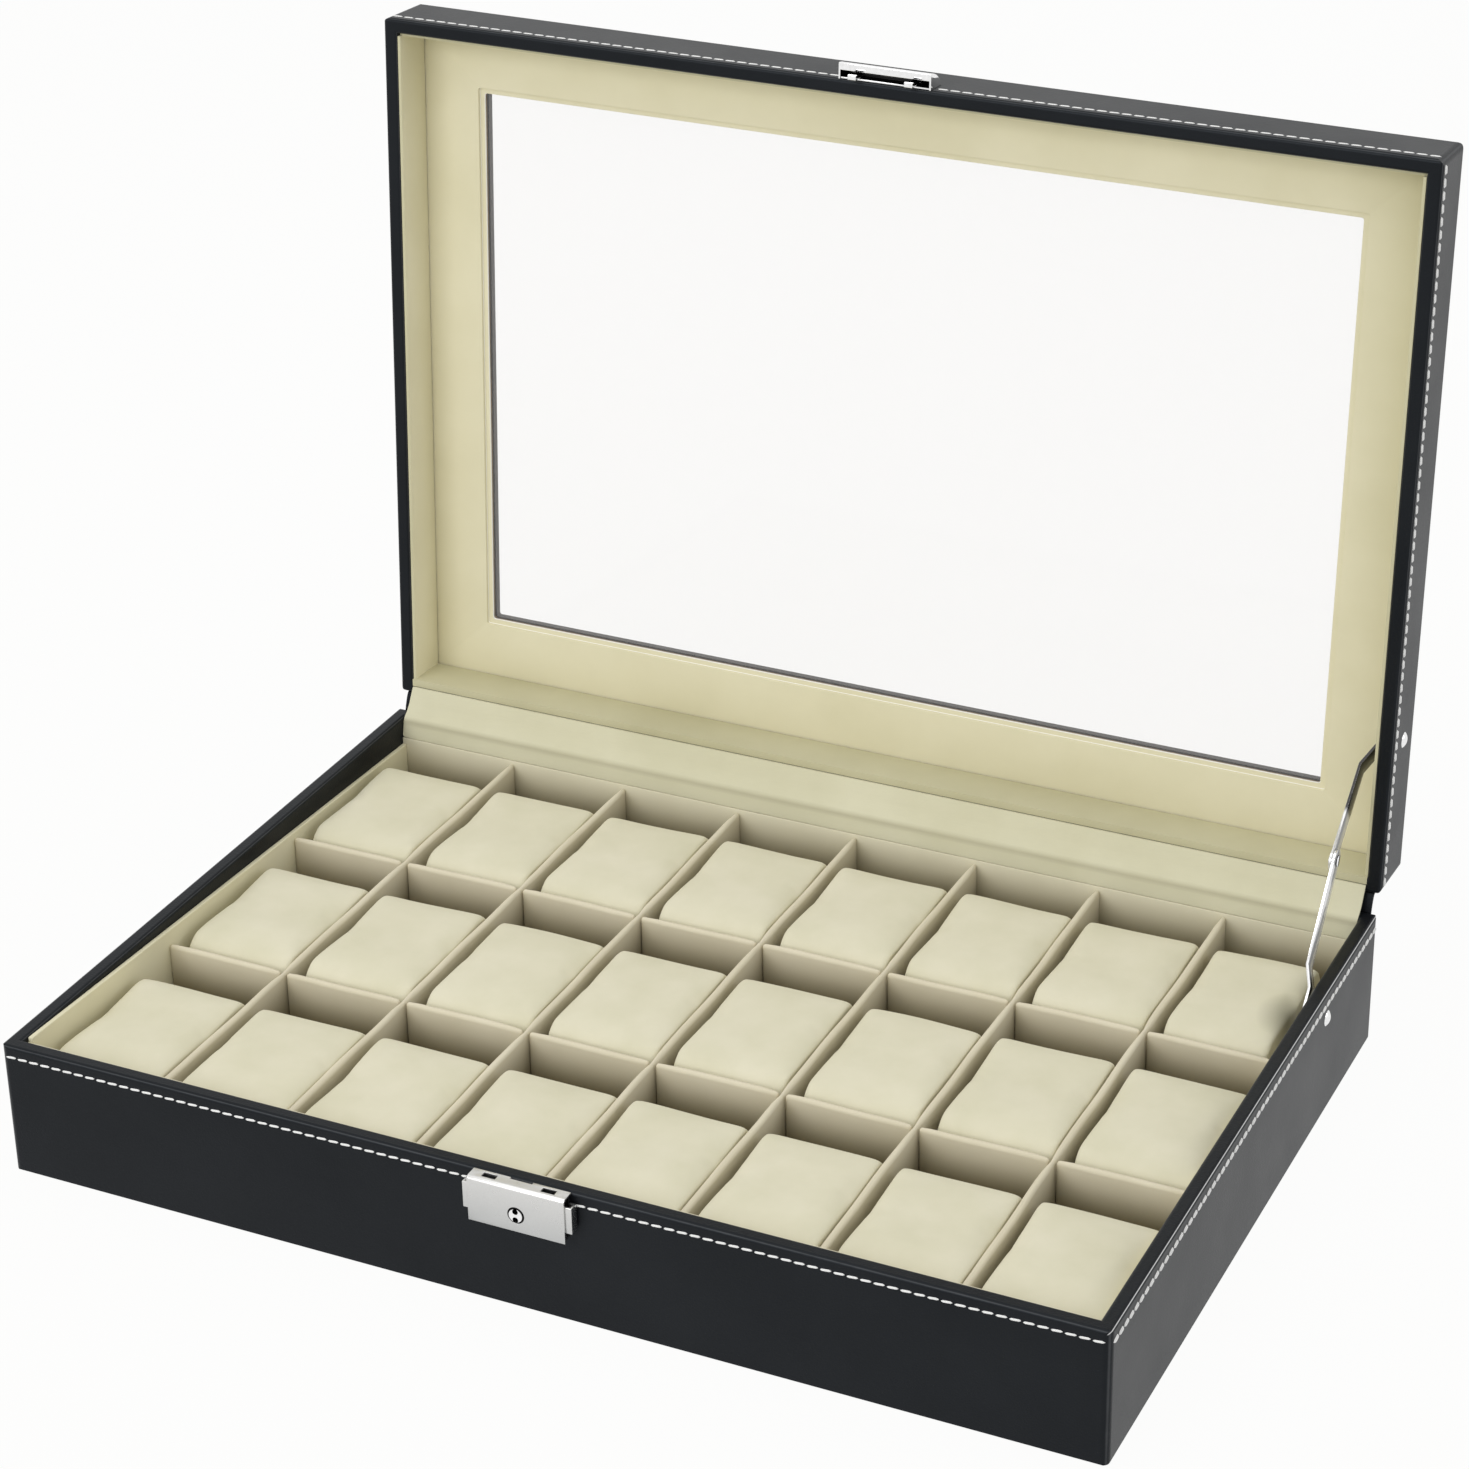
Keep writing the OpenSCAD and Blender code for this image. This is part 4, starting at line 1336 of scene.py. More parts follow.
@dataclass
class Pillows:
    """The loose padded pillows, one in each compartment.

    strap_room is the gap left behind a pillow. The crumple fields give the depth of the dents
    in each copy and the height at which they begin. drift and back_step move a pillow to the
    right and to the back of its compartment. The one beside the stay ends stay_gap short of it.
    """

    front_gap: float = 0.6
    strap_room: float = 20.0
    seat: float = 0.3
    height: float = 41.5
    front_r: float = 11.0
    back_r: float = 9.0
    foot_r: float = 7.0
    shrink: float = 1.0
    end_r: float = 1.5
    end_cut: float = 1.6
    cap: float = 1.3
    voxel: float = 2.3
    half_width: float = 23.3
    drift: float = 2.2
    crown: float = 1.4
    stay_side: float = 212.0
    stay_gap: float = 0.2
    back_step: float = 0.2
    pressure: float = 4.0
    frames: int = 16
    seam_inset: float = 0.5
    cap_inset: float = 2.5
    cap_sink: float = 0.3
    crumple: tuple[float, float] = (0.12, 0.3)
    crumple_from: float = 12.0
    crumple_over: float = 24.0
    drift_less: float = 0.7
    turn_degrees: float = 0.12

    @property
    def cell(self) -> tuple[float, float]:
        """Clear width and depth of a compartment."""
        s = SIZES
        return (
            (s.lined_width - (s.columns - 1) * s.divider) / s.columns,
            (s.lined_depth - (s.rows - 1) * s.divider) / s.rows,
        )

    def start(self) -> bpy.types.Object:
        """The slack pillow before it is filled: a block with rounded long and end edges.

        Returns:
            The pillow, with its middle at x = 0, y = 0 and its foot at z = 0.
        """
        cell_d = self.cell[1]
        w = 2 * (self.half_width + self.end_cut - self.shrink)
        d = cell_d - self.front_gap - self.strap_room - 2 * self.shrink
        h = self.height - 2 * self.shrink
        obj = block("pillow", (w, d, h), (0, 0, h / 2 + self.shrink))
        top, low = h + self.shrink, self.shrink
        with editing(obj):
            for y, z, r in (
                (-d / 2, top, self.front_r),
                (d / 2, top, self.back_r),
                (-d / 2, low, self.foot_r),
                (d / 2, low, self.foot_r),
            ):
                bpy.ops.mesh.select_all(action="DESELECT")
                choose_edges(
                    obj,
                    lambda a, b: abs(a.x - b.x) > 1
                    and abs(a.y - y) < 0.01
                    and abs(a.z - z) < 0.01,
                )
                bpy.ops.mesh.bevel(offset=r * MM, segments=8, affect="EDGES")
            choose_edges(obj, lambda a, b: abs(abs(a.x) - w / 2) < 0.01 and abs(a.x - b.x) < 0.01)
            bpy.ops.mesh.bevel(offset=self.end_r * MM, segments=4, affect="EDGES")
        return obj

    def fill(self, obj: bpy.types.Object) -> bpy.types.Object:
        """Fills the slack pillow by a short cloth simulation and keeps its result.

        Args:
            obj: The slack pillow.

        Returns:
            The filled pillow.
        """
        remesh = obj.modifiers.new("Remesh", "REMESH")
        remesh.mode = "VOXEL"
        remesh.voxel_size = self.voxel * MM
        apply_all(obj)
        rest = np.array([v.co for v in obj.data.vertices])
        cloth = obj.modifiers.new("Filling", "CLOTH")
        settings = cloth.settings
        settings.use_pressure = True
        settings.uniform_pressure_force = self.pressure
        settings.quality = 3
        settings.effector_weights.gravity = 0.0
        scene = bpy.context.scene
        scene.frame_start, scene.frame_end = 1, self.frames
        for frame in range(1, self.frames + 1):
            scene.frame_set(frame)
        graph = bpy.context.evaluated_depsgraph_get()
        shaped = np.array([v.co for v in obj.evaluated_get(graph).data.vertices])
        obj.modifiers.remove(cloth)
        scene.frame_set(1)
        move = shaped - rest
        far = np.linalg.norm(move, axis=1, keepdims=True)
        rest = rest + move * np.minimum(1.0, self.cap * MM / np.maximum(far, 1e-9))
        obj.data.vertices.foreach_set("co", rest.astype(np.float32).ravel())
        obj.data.update()
        smooth = obj.modifiers.new("Even", "SMOOTH")
        smooth.factor, smooth.iterations = 0.5, 1
        return apply_all(obj)

    def fit(self, obj: bpy.types.Object) -> None:
        """Keeps the filled pillow inside its own room.

        Args:
            obj: The pillow, about x = 0, y = 0.
        """
        half_d = (self.cell[1] - self.front_gap - self.strap_room) / 2
        co = np.array([v.co for v in obj.data.vertices]) / MM
        co[:, 0] *= (self.half_width + self.end_cut) / np.abs(co[:, 0]).max()
        co[:, 1] *= half_d / np.abs(co[:, 1]).max()
        low, high = co[:, 2].min(), co[:, 2].max()
        co[:, 2] = (co[:, 2] - low) * ((self.height + self.crown) / (high - low))
        obj.data.vertices.foreach_set("co", (co * MM).astype(np.float32).ravel())
        obj.data.update()

    def close_ends(self, obj: bpy.types.Object) -> None:
        """Closes both ends with flat, tightly sewn faces and makes the mesh fine.

        Args:
            obj: The pillow, about x = 0.
        """
        for side in (-1, 1):
            with editing(obj):
                bpy.ops.mesh.select_all(action="SELECT")
                bpy.ops.mesh.bisect(
                    plane_co=(side * self.half_width * MM, 0, 0),
                    plane_no=(side, 0, 0),
                    use_fill=True,
                    clear_outer=True,
                )
            with editing(obj) as mesh:
                bpy.ops.mesh.select_mode(type="FACE")
                mesh.faces.ensure_lookup_table()
                for face in mesh.faces:
                    face.select = len(face.verts) > 12 and face.normal.x * side > 0.9
                bmesh.update_edit_mesh(obj.data)
                bpy.ops.mesh.inset(thickness=self.seam_inset * MM, depth=0)
                bpy.ops.mesh.inset(thickness=self.cap_inset * MM, depth=self.cap_sink * MM)
        split = obj.modifiers.new("Fine", "SUBSURF")
        split.levels = split.render_levels = 1
        apply_all(obj)
        soften(obj, 50)

    def lay(self, master: bpy.types.Object, row: int, column: int) -> bpy.types.Object:
        """Lays a copy of the pillow in its compartment, with its own slight crumple.

        Args:
            master: The pillow to copy.
            row: Its row, from the front.
            column: Its column, from the left.

        Returns:
            The pillow in its place.
        """
        s = SIZES
        cell_w, cell_d = self.cell
        rng = np.random.default_rng(100 * row + column)
        obj = copied(master, f"cushion_r{row}_c{column}")
        co = np.array([v.co for v in obj.data.vertices]) / MM
        phase = rng.uniform(0, 6.28, 6)
        size = rng.uniform(*self.crumple, 3)
        top = np.clip((co[:, 2] - self.crumple_from) / self.crumple_over, 0, 1)
        dip = (
            size[0] * np.sin(co[:, 0] / 9 + phase[0]) * np.sin(co[:, 1] / 14 + phase[1])
            + size[1] * np.sin(co[:, 0] / 15 + co[:, 1] / 21 + phase[2])
            + size[2] * np.sin(co[:, 1] / 8 + phase[3])
        )
        co[:, 2] += top * (dip - size.sum())
        turn = math.radians(rng.uniform(-self.turn_degrees, self.turn_degrees))
        x, y = co[:, 0].copy(), co[:, 1].copy()
        co[:, 0] = x * math.cos(turn) - y * math.sin(turn)
        co[:, 1] = x * math.sin(turn) + y * math.cos(turn)
        depth = cell_d - self.front_gap - self.strap_room
        shift = self.drift - rng.uniform(0.0, self.drift_less)
        middle_x = -s.lined_width / 2 + (column - 1) * (cell_w + s.divider) + cell_w / 2
        if (row, column) == (s.rows, s.columns):
            left = middle_x + shift - self.half_width
            co[:, 0] *= (self.stay_side - self.stay_gap - left) / (2 * self.half_width)
            shift = (left + self.stay_side - self.stay_gap) / 2 - middle_x
        front_y = -s.lined_depth / 2 + (row - 1) * (cell_d + s.divider)
        co[:, 0] += middle_x + shift
        co[:, 1] += front_y + self.front_gap + self.back_step + depth / 2
        co[:, 2] += s.floor + self.seat
        obj.data.vertices.foreach_set("co", (co * MM).astype(np.float32).ravel())
        obj.data.update()
        return obj

    def build(self, finishes: Finishes) -> None:
        """Makes the pillows and puts each in the place of its plain solid.

        Args:
            finishes: The box's materials.
        """
        master = self.fill(self.start())
        self.fit(master)
        self.close_ends(master)
        dress(master, finishes.pillow)
        for row in range(1, SIZES.rows + 1):
            for column in range(1, SIZES.columns + 1):
                node = f"pillow_r{row}_c{column}"
                obj = self.lay(master, row, column)
                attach(obj, node)
                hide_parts(node)
        count = SIZES.rows * SIZES.columns
        LOG.info("%d pillows of %d faces each", count, len(master.data.polygons))
        bpy.data.objects.remove(master)


# ---------------------------------------------------------------------------
# Hinge
# ---------------------------------------------------------------------------


@dataclass
class Hinge:
    """The lining cloth inside and the leather web outside that join lid and base.

    The slack fields place the cloth's ripples, the pucker fields the finer ones at its left
    end, and the fold fields the fold just below the lid's rim.
    """

    cloth_half: float = 218.6
    cloth_thickness: float = 0.7
    cloth_seam: float = 3.3
    cloth_foot: float = 47.6
    web_half: float = 222.0
    web_thickness: float = 0.8
    web_hold: float = 9.0
    cloth_off: float = 0.4
    cloth_top: float = 0.7
    cloth_in: float = 1.5
    cloth_face: float = 2.4
    foot_back: float = 0.5
    slack_z: float = 53.0
    slack_reach: float = 5.0
    pucker_x: float = -218.0
    pucker_reach: float = 70.0
    fold_z: float = 60.6
    fold_half: float = 0.9
    fold_depth: float = 0.35

    def rim_frame(self) -> tuple[Vector, Vector, Vector]:
        """The open lid's back arris, and the directions along its rim and up its back."""
        s = SIZES
        edge = s.lid_point(s.back, s.lid_rim)
        along = s.lid_point(s.back - 1, s.lid_rim) - edge
        up = s.lid_point(s.back, s.lid_rim + 1) - edge
        return edge, along, up

    def cloth_path(self) -> list[Vector]:
        """The middle of the lining cloth, from the lid's rim down to the back lining.

        Returns:
            Points (y, z), in millimetres.
        """
        s = SIZES
        edge, along, up = self.rim_frame()
        inner = s.back - s.wall
        under = edge + 2 * s.rim_round * along - self.cloth_off * up
        start = edge + self.cloth_seam * along - self.cloth_off * up
        top = Vector((inner + s.rim_round, s.base_height + self.cloth_top))
        face = Vector((inner - self.cloth_in, s.base_height - self.cloth_face * s.rim_round))
        foot = Vector((s.lined_depth / 2 + self.foot_back, self.cloth_foot))
        path = [start, start.lerp(under, 0.5), under]
        path += curve(under, Vector((-1.4, -1.9)), top, Vector((-2.2, -1.4)), 7)
        path += curve(top, Vector((-1.6, -1.0)), face, Vector((0, -2.4)), 4)
        path += curve(face, Vector((-0.3, -2)), foot, Vector((-0.1, -2)), 4)
        return path

    def web_path(self) -> list[Vector]:
        """The middle of the leather web, from under the lid's back to the base's back.

        Returns:
            Points (y, z), in millimetres.
        """
        s = SIZES
        edge, along, up = self.rim_frame()
        half = self.web_thickness / 2
        far = edge + self.web_hold * up - half * along
        near = edge + s.rim_round * up - half * along
        high = Vector((s.back + half, s.base_height - s.rim_round))
        low = Vector((s.back + half, s.base_height - self.web_hold))
        path = [far, far.lerp(near, 0.5), near]
        path += curve(near, -1.2 * up, high, Vector((0, -1.2)), 6)
        path += [high.lerp(low, 0.5), low]
        return path

    def strip(
        self, name: str, path: Sequence[Vector], half: float, across: int
    ) -> bpy.types.Object:
        """A sheet that follows a path in Y and Z and runs along X.

        Args:
            name: The sheet's name.
            path: Its points, in millimetres.
            half: Half its length along X.
            across: How many faces it has along X.

        Returns:
            The sheet, without thickness.
        """
        deselect()
        bpy.ops.mesh.primitive_grid_add(
            x_subdivisions=across, y_subdivisions=len(path) - 1, size=2
        )
        obj = bpy.context.object
        obj.name = obj.data.name = name
        steps = len(path) - 1
        for vertex in obj.data.vertices:
            i = round((vertex.co.y + 1) / 2 * steps)
            y, z = path[i]
            vertex.co = Vector((vertex.co.x * half, y, z)) * MM
        obj.data.update()
        return obj

    def thicken(
        self, obj: bpy.types.Object, thickness: float, offset: float
    ) -> bpy.types.Object:
        """Gives a sheet its thickness and smooths it.

        Args:
            obj: The sheet.
            thickness: Its thickness, in millimetres.
            offset: The side on which it grows, from -1 to 1.

        Returns:
            The same object.
        """
        fine = obj.modifiers.new("Fine", "SUBSURF")
        fine.levels = fine.render_levels = 2
        solid = obj.modifiers.new("Thickness", "SOLIDIFY")
        solid.thickness = thickness * MM
        solid.offset = offset
        solid.use_even_offset = True
        apply_all(obj)
        pick(obj)
        bpy.ops.object.mode_set(mode="EDIT")
        bpy.ops.mesh.select_all(action="SELECT")
        bpy.ops.mesh.normals_make_consistent(inside=False)
        bpy.ops.object.mode_set(mode="OBJECT")
        return soften(obj, 60)

    def length(self, path: Sequence[Vector]) -> float:
        """The length of a path, in millimetres."""
        return sum((b - a).length for a, b in zip(path, path[1:]))

    def wrinkle(self, cloth: bpy.types.Object) -> None:
        """Presses long shallow folds into the lining cloth, deepest at its left end.

        Args:
            cloth: The cloth, without thickness.
        """
        for vertex in cloth.data.vertices:
            x, z = vertex.co.x / MM, vertex.co.z / MM
            slack = max(0.0, 1 - abs(z - self.slack_z) / self.slack_reach)
            left = math.exp(-(((x - self.pucker_x) / self.pucker_reach) ** 2))
            wave = 0.14 * math.sin(x / 31 + 1.3) + 0.08 * math.sin(x / 12.5 + 0.4)
            vertex.co.y += MM * slack * (wave + 0.12 * left * math.sin(x / 6))
            above = (z - self.fold_z - 0.25 * math.sin(x / 44)) / self.fold_half
            vertex.co.z -= MM * self.fold_depth * math.exp(-(above**2))

    def build(self, finishes: Finishes) -> None:
        """Makes both strips.

        Args:
            finishes: The box's materials.
        """
        path = self.cloth_path()
        cloth = self.strip("lining_cloth", path, self.cloth_half, 90)
        self.wrinkle(cloth)
        self.thicken(cloth, self.cloth_thickness, 0.0)
        dress(cloth, finishes.hinge_cloth)
        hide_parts("hinge_cloth")
        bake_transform(cloth)
        LOG.info("lining cloth: %d faces", len(cloth.data.polygons))

        path = self.web_path()
        web = self.strip("leather_web", path, self.web_half, 60)
        self.thicken(web, self.web_thickness, 0.0)
        dress(web, finishes.web)
        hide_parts("hinge_leather")
        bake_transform(web)
        LOG.info("leather web: %d faces", len(web.data.polygons))


# ---------------------------------------------------------------------------
# Dividers, linings and mat
# ---------------------------------------------------------------------------


@dataclass
class VelvetBoards:
    """The boards covered with velvet: dividers, linings, and the mat round the window.

    The soft fields say where a divider's soft top begins, and the pinch and sag fields how it
    narrows and dips where it meets another. back_faces pairs each moved face of the lid's back
    lining with its new place, both from the back wall's inner face. The window and lip fields
    bound the stretch of the mat's lip that shows its paler cut edge and a painted highlight.
    """

    nodes: dict[str, bpy.types.Object]
    divider_round: float = 1.2
    lining_round: float = 0.45
    mat_round: float = 0.35
    padding: float = 1.6
    pinch: float = 0.42
    pinch_reach: float = 5.5
    stations: float = 7.0
    soft_from: float = 26.0
    soft_over: float = 18.0
    sag: float = 0.25
    sag_reach: float = 4.0
    straight_reach: float = 9.0
    seam: float = 0.4
    near: float = 0.1
    ripple: float = 0.2
    back_faces: tuple[tuple[float, float], ...] = ((-1.2, -0.5), (1.8, 2.6))
    back_top: float = 47.3
    top_layer: float = 0.5
    lip: float = 1.2
    window_half: tuple[float, float] = (194.0, 130.0)
    lip_left: float = -185.0
    lip_back: float = 114.0

    def crossings(self, along_x: bool) -> list[float]:
        """Where the other dividers cross one, along its length.

        Args:
            along_x: Whether the divider runs along X.

        Returns:
            The places, in millimetres.
        """
        s = SIZES
        count, clear = (s.columns, s.lined_width) if along_x else (s.rows, s.lined_depth)
        cell = (clear - (count - 1) * s.divider) / count
        return [
            -clear / 2 + i * (cell + s.divider) - s.divider / 2 for i in range(0, count + 1)
        ]

    def divider(self, node: bpy.types.Object, name: str, along_x: bool) -> bpy.types.Object:
        """A divider with a soft round top that is pinched where it meets another.

        Args:
            node: The plain divider.
            name: The new piece's name.
            along_x: Whether it runs along X.

        Returns:
            The new piece.
        """
        obj = arris(whole_copy(node, name), self.divider_round, 4)
        places = np.array([v.co[0 if along_x else 1] for v in obj.data.vertices]) / MM
        low, high = places.min(), places.max()
        normal = (1, 0, 0) if along_x else (0, 1, 0)
        with editing(obj):
            for place in np.arange(low + 3, high - 2, self.stations):
                bpy.ops.mesh.select_all(action="SELECT")
                cut = [c * float(place) * MM for c in normal]
                bpy.ops.mesh.bisect(plane_co=cut, plane_no=normal)
        co = np.array([v.co for v in obj.data.vertices]) / MM
        along, across = (0, 1) if along_x else (1, 0)
        middle = (co[:, across].min() + co[:, across].max()) / 2
        far = np.min(
            [np.abs(co[:, along] - c) for c in self.crossings(along_x)], axis=0
        )
        top = np.clip((co[:, 2] - self.soft_from) / self.soft_over, 0, 1)
        narrow = 1 - self.pinch * np.exp(-((far / self.pinch_reach) ** 2)) * top
        phase = len(name) + float(middle)
        lean = 0.22 * np.sin(co[:, along] / 17 + phase) + 0.12 * np.sin(co[:, along] / 7 + phase)
        co[:, across] = middle + (co[:, across] - middle) * narrow
        co[:, across] += lean * top * (1 - np.exp(-((far / self.straight_reach) ** 2)))
        rise = self.padding + self.ripple * np.sin(co[:, along] / 23 + phase)
        co[:, 2] += top * rise * (1 - self.sag * np.exp(-((far / self.sag_reach) ** 2)))
        obj.data.vertices.foreach_set("co", (co * MM).astype(np.float32).ravel())
        obj.data.update()
        return soften(obj, 60)

    def build(self, finishes: Finishes) -> None:
        """Makes the boards and puts each in the place of its plain solid.

        Args:
            finishes: The box's materials.
        """
        for name, node in self.nodes.items():
            if "divider" in name:
                along_x = name.startswith("cross")
                obj = self.divider(node, f"velvet_{name}", along_x)
                dress(obj, finishes.divider)
                stand_in(obj, name, "base")
        boards = {
            # The left lining faces the light and takes the mat velvet, without the painted shade.
            "left_lining": ("base", "lining", finishes.mat),
            "right_lining": ("base", "lining", finishes.lining),
            "front_lining": ("base", "lining", finishes.lining),
            "back_lining": ("base", "lining", finishes.lining),
            "floor_lining": ("base", "lining", finishes.floor_lining),
            "lid_linings": ("lid", "lining", finishes.lid_lining),
            "lid_mat": ("lid", "lining", finishes.mat),
        }
        for name, (body, slot, material) in boards.items():
            width = self.mat_round if name == "lid_mat" else self.lining_round
            obj = whole_copy(self.nodes[name], f"velvet_{name}")
            if name == "back_lining":
                self.raise_top(obj)
            if name == "lid_linings":
                self.part_seams(obj)
            arris(obj, width, 3)
            dress(obj, material)
            if name == "lid_mat":
                self.pale_lip(obj, finishes)
            # Faces towards +X take the paler mat velvet: lit and shaded copies of one cream velvet.
            if name == "lid_linings":
                paint_faces(obj, finishes.mat, lambda _middle, normal: normal.x > 0.8)
            stand_in(obj, name, body)

    def raise_top(self, obj: bpy.types.Object) -> None:
        """Brings the back lining's top up to the foot of the hinge cloth.

        Args:
            obj: The back lining.
        """
        high = max(v.co.z for v in obj.data.vertices)
        for vertex in obj.data.vertices:
            if vertex.co.z > high - self.top_layer * MM:
                vertex.co.z = self.back_top * MM
        obj.data.update()

    def part_seams(self, obj: bpy.types.Object) -> None:
        """Opens a fine seam between the lid's linings and the mat.

        The back board is also thinned, and its lap over the rim broadened.

        Args:
            obj: The lid's linings.
        """
        s = SIZES
        turn = s.lid_matrix()
        back = turn.inverted()
        mat_z = s.lid_rim + s.mat_depth
        inner = s.back - s.wall
        for vertex in obj.data.vertices:
            place = back @ vertex.co / MM
            if abs(place.z - mat_z) < self.near:
                place.z = mat_z - self.seam
            for before, after in self.back_faces:
                if abs(place.y - (inner + before)) < self.near:
                    place.y = inner + after
            vertex.co = turn @ (place * MM)
        obj.data.update()

    def pale_lip(self, mat: bpy.types.Object, finishes: Finishes) -> None:
        """Gives the mat's thin lip round the window its paler cut edge and a painted highlight.

        Args:
            mat: The mat.
            finishes: The box's materials.
        """
        s = SIZES
        back = s.lid_matrix().inverted()
        lip_z = s.lid_rim + s.mat_depth + s.mat_thickness - self.lip
        half_w, half_d = self.window_half

        def on_lip(middle: Vector, _normal: Vector) -> bool:
            """Whether a face belongs to the lip."""
            shut = back @ (middle * MM) / MM
            near_window = abs(shut.x) < half_w and abs(shut.y) < half_d
            bared = shut.x < self.lip_left or shut.y > self.lip_back
            return shut.z > lip_z and near_window and bared

        count = paint_faces(mat, finishes.mat_lip, on_lip)
        LOG.info("mat lip: %d faces", count)


# ---------------------------------------------------------------------------
# Lock, catch and stay
# ---------------------------------------------------------------------------


@dataclass
class Metalwork:
    """The plated fittings: the lock, its catch on the lid, and the folding stay.

    arm_gain is how far each side of the stay's arms stands outside its solid.
    """

    nodes: dict[str, bpy.types.Object]
    lock_width: float = 39.4
    lock_depth: float = 6.0
    sheet: float = 0.8
    hook_x: float = 12.0
    hook_width: float = 3.6
    plug_radius: float = 3.2
    plug_face: float = 2.75
    plug_up: float = 45.0
    arm_gain: float = 1.0
    notch_radius: float = 1.15
    notch_out: float = 1.72
    plug_proud: float = 0.4
    ring_depth: float = 0.7
    edge_on: float = 0.2

    @property
    def plug_front(self) -> float:
        """The key cylinder's front face."""
        return SIZES.front - self.lock_depth - self.plug_proud

    def plug(self) -> bpy.types.Object:
        """The key cylinder: a plug with a sunk ring and two notches for the key.

        Returns:
            The plug.
        """
        s = SIZES
        face_y = self.plug_front
        back_y = s.front - self.sheet - 0.2
        step = self.ring_depth
        deselect()
        bpy.ops.mesh.primitive_cylinder_add(
            vertices=48,
            radius=self.plug_radius * MM,
            depth=(back_y - face_y - step) * MM,
            location=(0, (face_y + step + back_y) / 2 * MM, self.plug_up * MM),
            rotation=(math.pi / 2, 0, 0),
        )
        obj = settle(bpy.context.object)
        obj.name = obj.data.name = "key_plug"
        with editing(obj) as mesh:
            bpy.ops.mesh.select_mode(type="FACE")
            for face in mesh.faces:
                face.select = face.normal.y < -0.9
            bmesh.update_edit_mesh(obj.data)
            bpy.ops.mesh.inset(thickness=(self.plug_radius - self.plug_face) * MM, depth=0)
            bpy.ops.mesh.extrude_region_move(
                TRANSFORM_OT_translate={"value": (0, -step * MM, 0)}
            )
        arris(obj, 0.18, 2)
        for side in (-1, 1):
            bpy.ops.mesh.primitive_cylinder_add(
                vertices=24,
                radius=self.notch_radius * MM,
                depth=5 * MM,
                location=(0, face_y * MM, (self.plug_up + side * self.notch_out) * MM),
                rotation=(math.pi / 2, 0, 0),
            )
            cutter = settle(bpy.context.object)
            cut = obj.modifiers.new("Notch", "BOOLEAN")
            cut.operation, cut.solver, cut.object = "DIFFERENCE", "EXACT", cutter
            apply_all(obj)
            bpy.data.objects.remove(cutter)
        return soften(obj, 35)

    def dark_in_plug(self, middle: Vector, _normal: Vector) -> bool:
        """Whether a face of the plug lies in its ring or in a notch, which take painted shade."""
        out = math.hypot(middle.x, middle.z - self.plug_up)
        in_ring = out > self.plug_face - 0.05 and middle.y > self.plug_front + 0.25
        in_notch = middle.y > self.plug_front + 0.1 and out < self.plug_face - 0.06
        return in_ring or in_notch

    def broaden(self, obj: bpy.types.Object) -> None:
        """Broadens an arm of the stay in its own plane.

        Args:
            obj: The arm.
        """
        moves = []
        for vertex in obj.data.vertices:
            way = Vector((0, vertex.normal.y, vertex.normal.z))
            gain = self.arm_gain * MM if way.length > self.edge_on else 0.0
            moves.append(way.normalized() * gain)
        for vertex, move in zip(obj.data.vertices, moves):
            vertex.co += move
        obj.data.update()

    def inside_catch(self, middle: Vector, normal: Vector) -> bool:
        """Whether a face of the catch lies inside its cover, hooks left out, where shade is
        painted.
        """
        s = SIZES
        back = s.lid_matrix().inverted()
        place = back @ (middle * MM) / MM
        way = (back.to_3x3() @ normal).normalized()
        probe = place + 0.4 * way
        up = probe.z - s.lid_rim
        hook_y = s.front - 2.4
        on_hook = abs(abs(place.x) - self.hook_x) < self.hook_width / 2 + 0.05 and (
            hook_y - 1.05 < place.y < hook_y + 1.05
        )
        return (
            not on_hook
            and abs(probe.x) < self.lock_width / 2 - self.sheet
            and s.front - self.lock_depth - 0.6 + self.sheet < probe.y < s.front - self.sheet
            and self.sheet < up < 11
        )

    def build(self, finishes: Finishes) -> None:
        """Makes the fittings and puts each in the place of its plain solid.

        Args:
            finishes: The box's materials.
        """
        pieces = {
            "lock_cover": ("base", "satin", finishes.satin, 0.22),
            "lock_button_left": ("lock_button_left", "chrome", finishes.satin, 0.2),
            "lock_button_right": ("lock_button_right", "chrome", finishes.satin, 0.2),
            "lid_catch": ("lid", "chrome", finishes.chrome, 0.22),
            "stay_lower_arm": ("stay_lower", "chrome", finishes.chrome, 0.44),
            "stay_upper_arm": ("stay_upper", "chrome", finishes.chrome, 0.44),
            "stay_knee_rivets": ("stay_lower", "chrome", finishes.chrome, 0.3),
        }
        second = {
            # Painted shade inside the catch and on the rivets' sides.
            "lid_catch": (finishes.painted_shade_metal, self.inside_catch),
            # The broad faces of the arms take the plate with painted reflections.
            "stay_lower_arm": (finishes.arm_face, lambda _middle, normal: normal.x > 0.7),
            "stay_upper_arm": (
                finishes.arm_face,
                lambda _middle, normal: normal.x > 0.7 or abs(normal.x) < 0.25,
            ),
            "stay_knee_rivets": (finishes.painted_shade_metal, lambda _middle, normal: abs(normal.x) < 0.3),
        }
        for name, (body, slot, material, width) in pieces.items():
            obj = whole_copy(self.nodes[name], f"plated_{name}")
            if name.endswith("_arm"):
                self.broaden(obj)
            arris(obj, width, 3, 35)
            dress(obj, material)
            if name in second:
                count = paint_faces(obj, *second[name])
                LOG.info("%s: %d faces in a second finish", name, count)
            stand_in(obj, name, body)
        plug = self.plug()
        dress(plug, finishes.chrome)
        # The plug's ring and notches take painted shade.
        LOG.info("plug: %d dark faces", paint_faces(plug, finishes.painted_shade_metal, self.dark_in_plug))
        stand_in(plug, "key_cylinder", "key_cylinder")


# ---------------------------------------------------------------------------
# Solids that are right as they are
# ---------------------------------------------------------------------------


